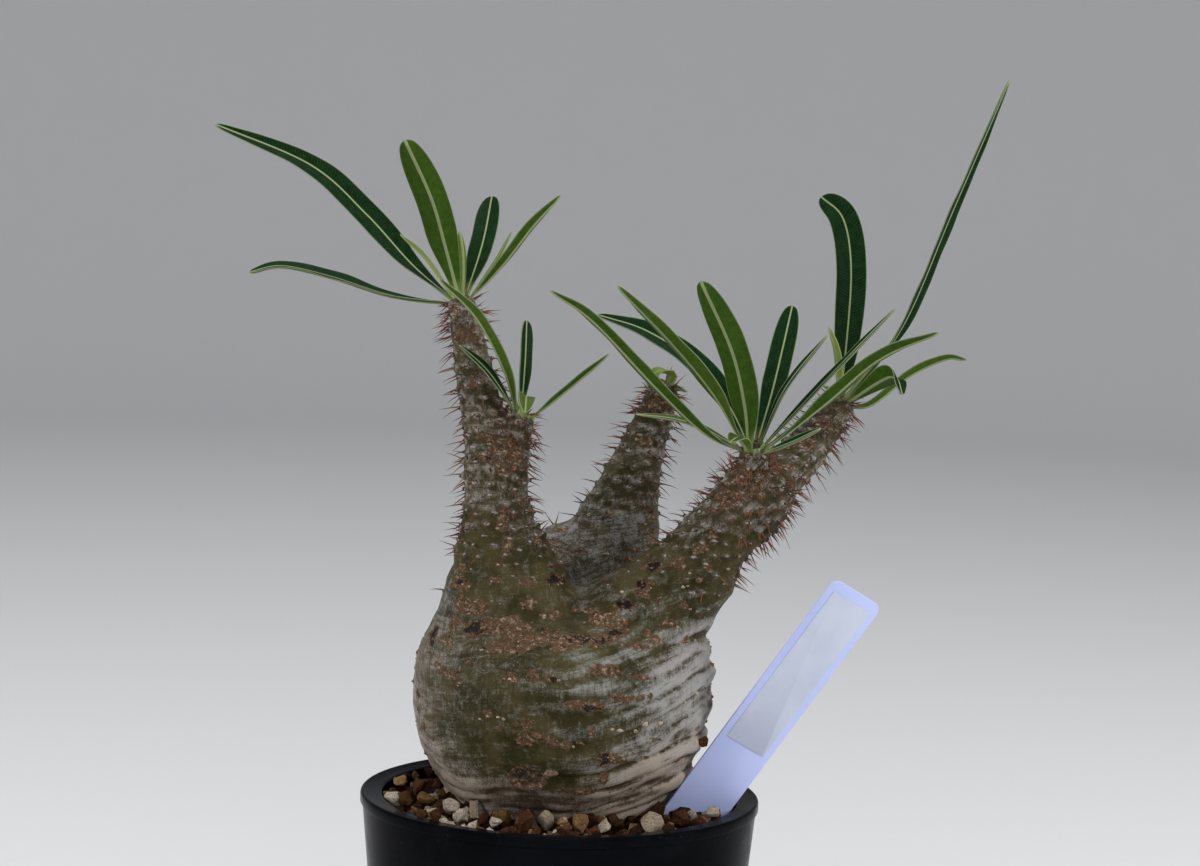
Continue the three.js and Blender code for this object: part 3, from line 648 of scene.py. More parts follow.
# A leaf's two sides, each its darker and lighter green, its veins and how much they show
LEAF_TOP = ((0.003, 0.015, 0.003), (0.007, 0.027, 0.008), (0.028, 0.066, 0.026), 0.6)
LEAF_UNDER = ((0.026, 0.06, 0.005), (0.042, 0.085, 0.01), (0.1, 0.17, 0.045), 0.14)
LEAF_RIB = (0.27, 0.32, 0.16)
LEAF_RIM = (0.25, 0.3, 0.19)
LEAF_NECK = (0.24, 0.3, 0.1)
LEAF_YOUNG = (0.22, 0.3, 0.05)
VEIN_SPACING = 0.95
STONES = {
    "gravel_brown": ((0.025, 0.011, 0.005), (0.1, 0.042, 0.019)),
    "gravel_tan": ((0.09, 0.045, 0.018), (0.28, 0.165, 0.075)),
    "gravel_cream": ((0.3, 0.235, 0.165), (0.55, 0.47, 0.37)),
}
SOIL_DARK, SOIL_BROWN = (0.01, 0.006, 0.004), (0.05, 0.026, 0.013)
POT_BLACK, POT_FILM = (0.0018, 0.002, 0.0028), (0.006, 0.0066, 0.009)
POT_SCUFF, POT_GRAIN = (0.08, 0.09, 0.12), (0.14, 0.14, 0.16)
LILAC, LILAC_LIGHT, LILAC_GRAIN = (0.45, 0.51, 0.82), (0.49, 0.55, 0.86), (0.2, 0.19, 0.26)
PAPER, PAPER_LIGHT = (0.47, 0.51, 0.63), (0.52, 0.56, 0.67)
# What is painted on the skin for its shader to read
PAINTS = ("silver", "warm", "bloom", "cork", "pit", "fold")


def cork_color(s, crumb):
    """Reddish brown to pale pinkish cork, dark in its crevices."""
    pale = (PALE_CORK, s.noise(1.3, 4, 0.7), 0.51, 0.64)
    return s.coats(CORK, pale, (CORK_CREVICE, crumb, 0.5, 0.38, 0.85))


def skin_material():
    s = Shader("skin", 0.08)
    silver, warm, bloom, cork, pit, fold = (s.attribute(name) for name in PAINTS)
    broad = s.noise(11, 4, 0.6)
    patch = s.noise(3.2, 6, 0.72, distortion=0.5)
    streak = s.noise(1.0, 5, 0.75, s.stretched((1, 1, 0.2)))
    wrinkle = s.noise(0.9, 4, 0.7, s.stretched((0.13, 0.13, 1), s.attribute("ring", "Vector")))
    speck = s.noise(0.42, 4, 0.75)
    crumb = s.noise(0.85, 4, 0.78)
    green = s.coats(
        OLIVE,
        (OLIVE_LIGHT, broad, 0.38, 0.62),
        (GREY_GREEN, patch, 0.5, 0.66, 0.5),
        (EARTHY, warm, 0.5, 0.9),
    )
    dry = s.coats(SILVER_AND_HIGHLIGHT, (BEIGE, s.shifted(warm, patch, 0.9), 0.15, 0.75))
    # the dry tone is painted lighter on fold crests and darker, towards dusky, in fold valleys, under
    # tubercles and at the knobs' feet: painted highlight and painted shade, broken up by noise
    lit = s.shifted(s.plus(0.54, fold), streak, 1.0, wrinkle, 1.3, speck, 1.6, patch, 1.5)
    dry = s.coats(DUSKY, (dry, lit, -0.1, 1.0))
    # how far the skin is dry and silvery here, partly as a painted highlight, broken up by grain,
    # scratches and wrinkles
    wax = s.shifted(silver, streak, 0.8, patch, 0.9, speck, 1.2, wrinkle, 0.8)
    veil = s.shifted(bloom, broad, 1.4, streak, 0.8, wrinkle, 0.9)
    dark = s.math("MINIMUM", s.math("MINIMUM", streak, wrinkle), s.shifted(speck, 0.55, 1))
    # silver and bloom rise on fold crests as a painted highlight; fold valleys, tubercle undersides
    # and knob feet are darkened as painted shade; the fine grain is darker in its hollows
    color = s.coats(
        green,
        (dry, s.plus(wax, fold, 0.45), 0.0, 1.0),
        (BLOOM_AND_HIGHLIGHT, s.plus(veil, fold, 0.25), 0.35, 1.1, 0.75),
        (SHADE_AND_DARK_GRAIN, fold, -0.15, -0.9, 0.6),
        (SHADE_AND_DARK_GRAIN, dark, 0.44, 0.3, 0.6),
        (PALE_SPECK, s.shifted(speck, streak, 0.5), 0.57, 0.74, 0.14),
    )
    ragged = s.shifted(cork, crumb, 1.8, patch, 1.4)
    corky = s.span(ragged, 0.5, 0.6)
    color = s.mix(corky, color, s.coats(cork_color(s, crumb), (CORK_EDGE, ragged, 0.72, 0.6)))
    hollow = s.shifted(pit, crumb, 2.2, patch, 1.2)
    dried = s.coats(DRIED, (DRIED_CRUMB, speck, 0.5, 0.66))
    color = s.coats(color, (dried, hollow, 0.42, 0.66))
    rough = s.plus(s.span(patch, 0.3, 0.7, 0.42, 0.6), corky, 0.3)
    grain = s.plus(s.times(speck, 0.8), crumb, s.times(corky, 3))
    return s.finish(color, rough, (streak, 0.25, 0.6), (wrinkle, 0.45, 0.7), (grain, 0.2, 0.9))


def cork_material():
    """The raised crusts, paler and shinier where their tone is high."""
    s = Shader("cork", 0.15)
    crumb = s.noise(0.7, 4, 0.75)
    tone = s.attribute("tone")
    ramp = s.shifted(tone, crumb, 0.7)
    color = s.coats(
        CORK_EDGE,
        (cork_color(s, crumb), ramp, 0.0, 0.5),
        (CORK_RUBBED, ramp, 0.6, 1.1),
        (DRIED, s.shifted(s.attribute("pit"), crumb, 0.5), 0.4, 0.7),
    )
    return s.finish(color, s.span(tone, 0.6, 1.0, 0.8, 0.42), (crumb, 0.3, 0.8))


def spine_material():
    s = Shader("spine", 0.18)
    along = s.attribute("along")
    color = s.coats(
        SPINE_TONES["dark"],
        (SPINE_TONES["red"], s.noise(4, 2), 0.4, 0.6),
        (SPINE_TONES["tip"], along, 0.6, 1.0),
        (SPINE_TONES["foot"], along, 0.25, 0.0, 0.6),
    )
    return s.finish(color, 0.55)


def leaf_material():
    s = Shader("leaf", 0.03)
    s.inputs["Subsurface Weight"].default_value = 0.03
    s.inputs["Subsurface Scale"].default_value = 0.002
    across, along, half = s.node("SeparateXYZ", {0: s.attribute("blade", "Vector")})
    top, young, neck = (s.attribute(name) for name in ("top", "young", "neck"))
    # distance from the midrib and from the margin, in millimetres
    off_rib = s.times(s.math("ABSOLUTE", across), half)
    off_edge = s.math("SUBTRACT", half, off_rib)
    phase = s.plus(s.plus(along, off_rib, -0.45), s.noise(1.2, 2), 0.9)
    vein = s.math("ABSOLUTE", s.math("SINE", s.times(phase, math.pi / VEIN_SPACING)))
    mottle = s.noise(2.2, 3, 0.6)
    upper, lower = (
        s.coats(dark, (light, mottle, 0.3, 0.75), (veins, vein, 0.36, 0.0, shown))
        for dark, light, veins, shown in (LEAF_TOP, LEAF_UNDER)
    )
    color = s.mix(young, s.mix(top, lower, upper), LEAF_YOUNG)
    rib_width = s.span(top, 0, 1, 0.55, 0.3, "LINEAR")
    color = s.coats(color, (LEAF_RIB, s.math("DIVIDE", off_rib, rib_width), 1.05, 0.6, 0.9))
    rim = s.times(s.span(off_edge, 0.1, 0.3, 1, 0), s.span(top, 0, 1, 0.35, 0.8))
    color = s.mix(rim, color, LEAF_RIM)
    color = s.mix(s.times(neck, 0.8), color, LEAF_NECK)
    furrows = s.span(vein, 0.0, 0.36)
    rough = s.span(mottle, 0.3, 0.7, 0.4, 0.52)
    return s.finish(color, rough, (furrows, 0.08, 0.5), (s.noise(0.35, 2), 0.03, 0.3))


def stone_material(name, dark, light):
    s = Shader(name, 0.05)
    blotch = s.noise(3.0, 4, 0.6)
    grain = s.noise(0.55, 4, 0.75)
    color = s.coats(
        dark,
        (light, s.shifted(s.attribute("tone"), blotch, 0.9), 0.1, 1.0),
        (tuple(0.3 * c for c in dark), grain, 0.52, 0.38, 0.75),
        (tuple(min(1.3 * c, 0.8) for c in light), grain, 0.55, 0.68, 0.4),
    )
    return s.finish(color, 0.92, (grain, 0.7, 1.0))


def soil_material():
    s = Shader("soil_dust", 0.05)
    color = s.coats(SOIL_DARK, (SOIL_BROWN, s.noise(1.5, 5, 0.7), 0.3, 0.7))
    return s.finish(color, 1.0, (s.noise(1.2, 4, 0.7), 0.6, 1.0))


def pot_material():
    """Black plastic with a dull film, upright scuffs and some dusty grains."""
    s = Shader("pot_plastic", 0.02)
    grains = s.times(s.span(s.cells(2.1), 0.04, 0.1, 1, 0), s.span(s.noise(9, 2), 0.52, 0.64))
    film = s.span(s.noise(24, 4, 0.6), 0.4, 0.75)
    scuff = s.span(s.noise(1.1, 3, 0.6, s.stretched((1, 1, 0.05))), 0.64, 0.8)
    scuff = s.times(scuff, s.span(s.noise(16, 2), 0.5, 0.68))
    color = s.mix(s.times(film, 0.4), POT_BLACK, POT_FILM)
    color = s.mix(s.times(scuff, 0.14), color, POT_SCUFF)
    color = s.mix(s.times(grains, 0.4), color, POT_GRAIN)
    rough = s.plus(s.span(film, 0, 1, 0.22, 0.36), grains, 0.4)
    return s.finish(color, rough, (s.noise(0.5, 2, vector=s.stretched((1, 1, 0.3))), 0.02, 0.3))


def label_material():
    s = Shader("label_plastic", 0.2)
    tone = s.coats(
        LILAC,
        (LILAC_LIGHT, s.noise(30, 2), 0.35, 0.65),
        (LILAC_GRAIN, s.cells(2.3), 0.07, 0.03, 0.25),
    )
    return s.finish(tone, s.span(s.noise(3, 3), 0.3, 0.7, 0.4, 0.5), (s.noise(0.4, 2), 0.02, 0.25))


def sticker_material():
    s = Shader("label_paper", 0.2)
    tone = s.coats(PAPER, (PAPER_LIGHT, s.noise(12, 3), 0.35, 0.65))
    brushed = s.noise(0.5, 2, vector=s.stretched((1, 0.08, 1)))
    return s.finish(tone, s.span(brushed, 0.3, 0.7, 0.34, 0.44), (brushed, 0.01, 0.2))


# The skin

TUBERCLES = {
    "spacing": 3.3, "from": 8, "back_from": 22, "along": 1.1, "around": 1.9, "height": 0.8,
    "grown_over": 22, "reach": 2.8, "least_chance": 0.35,
}


def tubercle_places(skin, rng):
    """Evenly spread vertices of the arms' skin, with how fully grown each is."""
    start = lerp(TUBERCLES["from"], TUBERCLES["back_from"], smoothstep(skin.vertices[:, 1], 2, 10))
    out = distance_to_body(skin.vertices) - start
    free = out > 0
    found = []
    for i in rng.permutation(np.nonzero(free)[0]):
        if not free[i]:
            continue
        free[skin.around(skin.vertices[i], TUBERCLES["spacing"])] = False
        grown = float(smoothstep(out[i], 0, TUBERCLES["grown_over"]))
        if rng.random() < TUBERCLES["least_chance"] + grown:
            found.append((skin.vertices[i].copy(), skin.normals[i], grown))
    return found


FOLDS = {"spacing": 5.6, "height": 1.05}
# Each kind of mark's paints: the most of it, how far out it is full, and how far out it ends
MARK_PAINTS = {
    "cork": {"cork": (0.95, 0.5, 1.5)},
    "bark": {"pit": (0.8, 0.5, 1.2), "cork": (0.8, 0.8, 1.7)},
    "pit": {"pit": (1, 0.6, 1.2), "cork": (0.75, 0.9, 1.5)},
    "scar": {"cork": (0.95, 0.95, 1.25), "pit": (0.5, 0.7, 1.0)},
}
# How far a mark raises the skin, how much that varies, and the seed of its noise
MARK_RISES = {"cork": (0.14, 0.3, 15), "bark": (0.1, 0.35, 16)}
# Crusts to a square millimetre of each kind of mark, and how far out from its middle they lie
CRUSTS_ON = {"cork": (1.5, 1.0), "bark": (1.1, 1.25), "pit": (0.9, 1.4)}
# Marks where the photograph doesn't reach: how many, from which y and z on, the middle and half
# height of the band where they are large, and the heights where they thin out and end
UNSEEN = {"count": 420, "behind": -6, "above": 106, "band": (155, 6), "thin": 166, "end": 190}
MOUND = ((1.0, -0.45), (0.88, 0.2), (0.64, 0.72), (0.3, 1.0))
CRATER = ((1.0, -0.45), (0.88, 0.35), (0.66, 0.85), (0.46, 0.8), (0.26, 0.1))
KNOB = ((1.0, -0.5), (0.82, 0.15), (0.52, 0.72), (0.2, 1.0))
MOUND_SIDES, KNOB_SIDES = 9, 8
ANY_ANGLE = (0, 6.28)


class Skin:
    """The caudex's fine surface, and the marks that are laid on it."""

    def __init__(self):
        self.vertices, self.faces = surface_net(clipped_caudex, *SKIN_BOX, SKIN_STEP)
        above = self.vertices[:, 2] > SKIN_BOTTOM + 0.6
        for _ in range(2):
            here = self.vertices[above]
            self.vertices[above] = here - distance_to_caudex(here)[:, None] * caudex_normals(here)
        self.normals = caudex_normals(self.vertices)
        self.near = KDTree(len(self.vertices))
        for i, v in enumerate(self.vertices):
            self.near.insert(v, i)
        self.near.balance()
        self.height = np.zeros(len(self.vertices))
        self.paint = {name: np.zeros(len(self.vertices)) for name in PAINTS}
        self.crusts = []
        self.take_surface()

    def take_surface(self):
        self.surface = BVHTree.FromPolygons(self.vertices.tolist(), self.faces.tolist())

    def seen_at(self, x, y):
        """Where the line of sight through a pixel of the photograph meets the skin."""
        hit, _, i, _ = self.surface.ray_cast(Vector(CAMERA["place"]), Vector(sight(x, y)))
        return np.array(hit), self.normals[self.faces[i][0]]

    def seat(self, place, normal):
        """The place moved along the normal onto the finished skin."""
        hit = self.surface.ray_cast(Vector(place + 4 * normal), Vector(-normal), 9)[0]
        return place if hit is None else np.array(hit)

    def around(self, place, reach):
        """The vertices within reach of a place."""
        return np.array([i for _, i, _ in self.near.find_range(place, reach)], int)

    def region(self, place, normal, wide, tall, ragged=0.6):
        """Vertices round a place, and how far out they are in an ellipse with a ragged outline."""
        near = self.around(place, 1.8 * max(wide, tall) + 1)
        level, up = tangents(normal)
        step = self.vertices[near] - place
        far = np.hypot(step @ level / wide, step @ up / tall)
        return near, far + ragged * noise(self.vertices[near], (1.9, 1.9, 1.2), 8)

    def paint_mark(self, kind, near, far):
        for name, (most, full, end) in MARK_PAINTS[kind].items():
            self.paint[name][near] = np.maximum(self.paint[name][near], most * fade(far, full, end))

    def lay_folds(self):
        """Wrinkles round the body and the arms, and a fine uneven grain everywhere; the wrinkles are
        painted with a highlight on their crests and with shade in their hollows.
        """
        p = self.vertices
        z = p[:, 2]
        on_body = smoothstep(z, 97, 103) * fade(z, 158, 176)
        right, low = on_right(p, -0.12, 0.7), fade(z, 104, 130)
        warp = noises(p, (2.6, (24, 24, 14), 1), (1.0, (9, 9, 6), 2))
        self.ring = np.stack([p[:, 0], p[:, 1], ring_height(p) + warp], axis=1)
        fold = 0.45 - (1 - np.abs(np.sin(np.pi * self.ring[:, 2] / FOLDS["spacing"]))) ** 2.2
        fold *= np.clip(0.75 + 0.6 * noise(p, (15, 15, 6), 9), 0.1, 1.4)
        folded = on_body * np.maximum(np.maximum(right, 0.75 * low), 0.14)
        ripple = noises(self.ring, (1, (9, 9, 1.9), 6), (0.5, (5, 5, 1.7), 10))
        rippled = on_body * np.maximum(right, low) + 0.15
        wrinkle, arm = noise(p, (8, 8, 1.4), 7), smoothstep(z, 168, 190)
        # each pattern with where it shows, how high it is and how far it is painted, the paint being
        # a painted highlight on its crests and painted shade in its hollows
        for pattern, shown, height, paint in (
            (fold, folded, FOLDS["height"], 1.6),
            (ripple, rippled, 0.36, 0.7),
            (wrinkle, arm, 0.2, 0.4),
        ):
            self.height += height * shown * pattern
            self.paint["fold"] += paint * shown * pattern
        self.height += 0.35 * on_body * noise(p, (16, 16, 9), 3)
        self.height += noises(p, (0.18, (5, 5, 3.2), 4), (0.09, (2.6, 2.6, 1.6), 5))
        # the rings and lumps are painted lighter where raised and darker where sunk: painted
        # highlight and painted shade
        self.paint["fold"] += 0.35 * relief(p)

    def lay_colors(self):
        """Where the skin is silvery, warm or bloomed; the silver also holds painted highlights on the
        lit sides and a shoulder, and painted light in the shaded saddle.
        """
        x, y, z = self.vertices.T
        body = fade(z, 150, 170)
        spread = np.maximum(132 - z, 0)
        left = smoothstep(-x + 0.8 * spread, 27, 44) * body
        right = smoothstep(x + spread, 10, 40)
        front = smoothstep(-y, -6, 14)
        back = (1 - front) * body
        dull = np.maximum(smoothstep(y, -4, 10), smoothstep(x, 40, 65))
        arms = smoothstep(z, 176, 200) * lerp(1, 0.72, dull)
        # a painted highlight on the shoulder right of the left arm, where light grazes the smooth
        # skin
        shoulder_highlight = smoothstep(x, -6, 8) * fade(x, 10, 22) * smoothstep(z, 162, 170) * front
        # painted light on the saddle between the arms at the back, paling skin that the arms shade
        saddle_light = smoothstep(z, 158, 168) * fade(z, 178, 200) * smoothstep(y, -4, 12)
        # silver is partly the skin's own silvery grey and partly a painted highlight on the left and
        # right sides
        silver = np.maximum.reduce([
            0.68 * left, 0.7 * right * body, 0.42 * fade(z, 104, 124), 0.45 * back, 0.5 * arms,
            0.5 * smoothstep(-x, 26, 40), 0.25 * shoulder_highlight,
        ])
        warm = np.maximum.reduce([
            0.5 * left, fade(z, 105, 130), 0.75 * right * fade(z, 108, 150), 0.4 * back,
        ])
        wander = noises(self.vertices, (0.16, (18, 18, 9), 11), (0.12, (5, 5, 2.5), 12))
        streaks = noises(self.vertices, (0.8, (20, 20, 4.5), 13), (0.4, (8, 8, 1.8), 14))
        veil = front * smoothstep(z, 122, 138) * fade(z, 158, 180)
        veil *= 0.27 * smoothstep(x, -22, 8) + 0.06
        self.paint["silver"] = np.clip(silver + wander - 0.08, 0, 1) + 0.45 * saddle_light
        self.paint["warm"] = np.clip(warm + 0.5 * wander + 0.45 * arms, 0, 1)
        self.paint["bloom"] = np.clip(veil * (1 + streaks), 0, 1)

    def lay_marks(self, rng):
        """The marks that the photograph shows in front, and like ones where it doesn't reach."""
        for kind, marks in MARKS.items():
            for x, y, half_wide, half_tall in marks:
                place, normal = self.seen_at(x, y)
                wide = half_wide * PIXEL / max(-normal @ sight(x, y), 0.5)
                self.lay_mark(kind, place, normal, wide, half_tall * PIXEL, rng)
        self.lay_big_scar()
        middle, half = UNSEEN["band"]
        y, z = self.vertices[:, 1], self.vertices[:, 2]
        unseen = np.nonzero((y > UNSEEN["behind"]) & (z > UNSEEN["above"]))[0]
        for i in rng.choice(unseen, UNSEEN["count"], replace=False):
            if z[i] > UNSEEN["end"] or (z[i] > UNSEEN["thin"] and rng.random() < 0.5):
                continue
            kind = "bark" if rng.random() < 0.12 else "bump" if rng.random() < 0.15 else "cork"
            size = rng.uniform(0.7, 1.5) * (1.6 if abs(z[i] - middle) < half else 1)
            wide = size * rng.uniform(1, 2.4)
            self.lay_mark(kind, self.vertices[i], self.normals[i], wide, 0.7 * size, rng)

    def lay_mark(self, kind, place, normal, wide, tall, rng):
        """A mark's paint and relief, and the crusts that will stand on it."""
        if kind == "bump":
            self.crusts.append((place, normal, max(0.3 * (wide + tall), 0.35), kind))
            return
        near, far = self.region(place, normal, wide, tall)
        self.paint_mark(kind, near, far)
        if kind == "pit":
            self.height[near] += 0.3 * bell(far, 1.2, 0.2) - 0.9 * fade(far, 0.3, 1.0)
        else:
            rise, crumbs, seed = MARK_RISES[kind]
            rise = rise + crumbs * noise(self.vertices[near], 1.7, seed)
            self.height[near] += fade(far, 0.5, 1.1) * rise
        level, up = tangents(normal)
        crowd, spread = CRUSTS_ON[kind]
        for _ in range(int(crowd * wide * tall) + 1):
            turn, out = rng.uniform(*ANY_ANGLE), spread * math.sqrt(rng.random())
            step = on_ellipse(turn, wide * out * level, tall * out * up)
            self.crusts.append((place + step, normal, rng.uniform(0.22, 0.62), kind))

    def lay_big_scar(self):
        """A shallow brown hollow with a pale rim low on the front."""
        place, normal = self.seen_at(*BIG_SCAR["pixel"])
        near, far = self.region(place, normal, BIG_SCAR["wide"], BIG_SCAR["tall"], 0.22)
        self.height[near] += 0.45 * bell(far, 1.05, 0.12) - BIG_SCAR["depth"] * fade(far, 0.72, 0.95)
        self.height[near] += 0.22 * noise(self.vertices[near], (3, 3, 1.1), 17) * (far < 0.85)
        self.paint_mark("scar", near, far)

    def lay_tubercles(self, tubercles, rng):
        for place, normal, grown in tubercles:
            near = self.around(place, TUBERCLES["reach"])
            step = self.vertices[near] - place
            level, up = tangents(normal)
            far = np.hypot(step @ up / TUBERCLES["along"], step @ level / TUBERCLES["around"])
            bump = np.clip(1 - far**2, 0, 1) * lerp(0.4, 1, grown)
            self.height[near] += TUBERCLES["height"] * bump * rng.uniform(0.7, 1.2)
            # each tubercle is painted lighter on top as a painted highlight, and darker just under
            # its lower side as a painted shadow
            self.paint["fold"][near] += 0.8 * bump - 0.25 * grown * (step @ up < 0) * (far > 0.8)

    def piece(self, material):
        """The skin as a piece, with every later seat taken on it."""
        self.vertices = self.vertices + self.normals * self.height[:, None]
        self.take_surface()
        attributes = {**self.paint, "ring": self.ring * MM}
        make_piece(
            "caudex_skin", self.vertices, self.faces, material, ["caudex"], attributes
        )


def add_mound(heap, place, normal, wide, tall, height, profile, sides, rng, **attributes):
    """A small closed swelling sunk a little into the skin, its outline ragged."""
    level, up = tangents(normal)
    angles = rng.uniform(*ANY_ANGLE) + angles_round(sides)
    rim = on_ellipse(angles, wide * level, tall * up)
    rim *= (1 + rng.uniform(-0.34, 0.3, sides))[:, None]
    rows = []
    for share, rise in profile:
        lift = height * rise * (1 + rng.uniform(-0.16, 0.16, sides))
        rows.append(place + share * rim + lift[:, None] * normal)
    rows = np.concatenate(rows)
    heap.add(rows, closed_tube(len(profile), sides), **attributes)
    return rows


def build_crusts(skin, material, rng):
    """The crusts of the marks, and the pale ledge under the big scar."""
    heap = Heap()
    for place, normal, size, kind in skin.crusts:
        seat = skin.seat(place, normal)
        hollow = rng.random() < (0.5 if kind in ("bark", "pit") else 0.2)
        profile = CRATER if hollow else MOUND
        tone = rng.uniform(0.8, 1.1) if kind == "bump" else rng.uniform(-0.1, 0.9)
        pit = np.repeat([0.0] * (len(profile) - 1) + [float(hollow)], MOUND_SIDES)
        wide, tall = size * rng.uniform(0.9, 1.5), size * rng.uniform(0.6, 1.0)
        height = 0.4 * size + 0.12
        add_mound(
            heap, seat, normal, wide, tall, height, profile, MOUND_SIDES, rng, tone=tone, pit=pit
        )
    seat, normal = skin.seen_at(*SCAR_LEDGE["pixel"])
    sizes = (SCAR_LEDGE[key] for key in ("wide", "tall", "out"))
    add_mound(heap, seat, normal, *sizes, MOUND, MOUND_SIDES, rng, tone=0.7, pit=0.0)
    heap.piece("crusts", material, "bark")


def build_knobs(skin, tubercles, material, rng):
    """The small silvery knob that each pair of spines stands on."""
    heap = Heap()
    rings = []
    # each knob's foot ring is painted dark as painted shade where it meets the skin, and its upper
    # rings lighter as a painted highlight
    fold = np.repeat([-0.6, 0.0, 0.5, 0.8], KNOB_SIDES)
    paint = {"bloom": 0.0, "cork": 0.0, "pit": 0.0, "fold": fold}
    for place, normal, grown in tubercles:
        seat = skin.seat(place, normal)
        size = rng.uniform(0.5, 0.85) * lerp(0.6, 1.0, grown)
        paint["silver"], paint["warm"] = rng.uniform(0.3, 0.8), rng.uniform(0.1, 0.5)
        rings.append(MM * add_mound(
            heap, seat, normal, 1.5 * size, 0.85 * size, 0.6 * size, KNOB, KNOB_SIDES, rng, **paint
        ))
    heap.attributes["ring"] = rings
    heap.piece("knobs", material, "bark")


# Spines

# The turn of a pair on its knob is a mean and a spread in degrees. The chance of a spine is its
# least, and how much more it is on a grown tubercle. Near an arm's head they stand by fours.
SPINE = {
    "sides": 5, "radius": 0.2, "length": (2.4, 5.6), "longest": 7, "apart": 0.6, "head": 13,
    "turn": (20, 30), "lean": 0.3, "sink": -0.25, "chance": (0.2, 0.65),
}
# How far along a spine, and how wide it is there
SPINE_STATIONS = ((0.0, 1.25), (0.15, 0.95), (0.55, 0.62), (1.0, 0.1))


def add_spine(heap, foot, heading, length, radius, droop):
    """A slender curved cone from a foot on the skin."""
    side = unit(np.cross(heading, [0.31, 0.52, 0.8]))
    ring = on_ellipse(angles_round(SPINE["sides"]), side, np.cross(heading, side))
    vertices = [
        foot + heading * (length * share) + np.array([0, 0, -droop * share**2]) + radius * wide * ring
        for share, wide in SPINE_STATIONS
    ]
    along = np.repeat([share for share, _ in SPINE_STATIONS], SPINE["sides"])
    faces = closed_tube(len(SPINE_STATIONS), SPINE["sides"])
    heap.add(np.concatenate(vertices), faces, along=along)


def build_spines(skin, tubercles, material, rng):
    """Two spines a tubercle, and four near the arms' heads, some of them missing."""
    heap = Heap()
    heads = np.array([chain[-1][:3] for chain in ARMS.values()])
    for place, normal, grown in tubercles:
        seat = skin.seat(place, normal)
        bristly = np.linalg.norm(heads - place, axis=1).min() < SPINE["head"]
        level, up = tangents(normal)
        turn = math.radians(SPINE["turn"][0] + SPINE["turn"][1] * rng.normal())
        apart = on_ellipse(turn, level, up)
        for hand in (-1, -0.3, 0.4, 1) if bristly else (-1, 1):
            if rng.random() > SPINE["chance"][0] + SPINE["chance"][1] * grown:
                continue
            lean = normal + SPINE["lean"] * hand * rng.uniform(0.3, 1.5) * apart
            heading = unit(lean + up * rng.normal(0.0, 0.22) + np.array([0, 0, SPINE["sink"]]))
            longest = SPINE["longest"] if rng.random() < 0.08 else SPINE["length"][1]
            length = rng.uniform(SPINE["length"][0], longest)
            radius = SPINE["radius"] * rng.uniform(0.8, 1.2)
            foot = seat + apart * hand * SPINE["apart"]
            add_spine(heap, foot, heading, length, radius, rng.uniform(0, 1.0))
    heap.piece("spines", material, "bark")


# Leaves

def tip_of(name):
    """Where an arm's leaves start, the arm's direction there and its radius."""
    *place, radius = ARMS[name][-1]
    direction = unit(np.subtract(place, ARMS[name][-2][:3]))
    return place - CROWN["seat_drop"] * direction, direction, radius


def smooth_curve(points, shares):
    """Points on a uniform Catmull-Rom curve through the given ones, and its directions."""
    points = np.array(points, float)
    padded = np.stack([2 * points[0] - points[1], *points, 2 * points[-1] - points[-2]])
    at = shares * (len(points) - 1)
    i = np.clip(np.floor(at).astype(int), 0, len(points) - 2)
    t = (at - i)[:, None]
    a, b, c, d = (padded[i + step] for step in range(4))
    pull, bend = 2 * a - 5 * b + 4 * c - d, 3 * (b - c) + d - a
    spot = b + 0.5 * t * (c - a + t * (pull + t * bend))
    slope = 0.5 * (c - a + 2 * t * pull + 3 * t * t * bend)
    return spot, unit(slope)


def blade_width(share, blunt):
    """A blade's width at shares of its length, to its widest."""
    rise = lerp(LEAF["neck"], 1, smoothstep(share, 0, LEAF["widest_from"]))
    if blunt:
        taper = np.sqrt(np.maximum(1 - np.maximum((share - 0.62) / 0.38, 0) ** 3, 0.012))
    else:
        taper = 1 - 0.78 * np.maximum((share - 0.5) / 0.5, 0) ** 2.3
    return rise * taper * np.sqrt(np.maximum(1 - np.maximum((share - 0.97) / 0.03, 0) ** 2, 0.04))


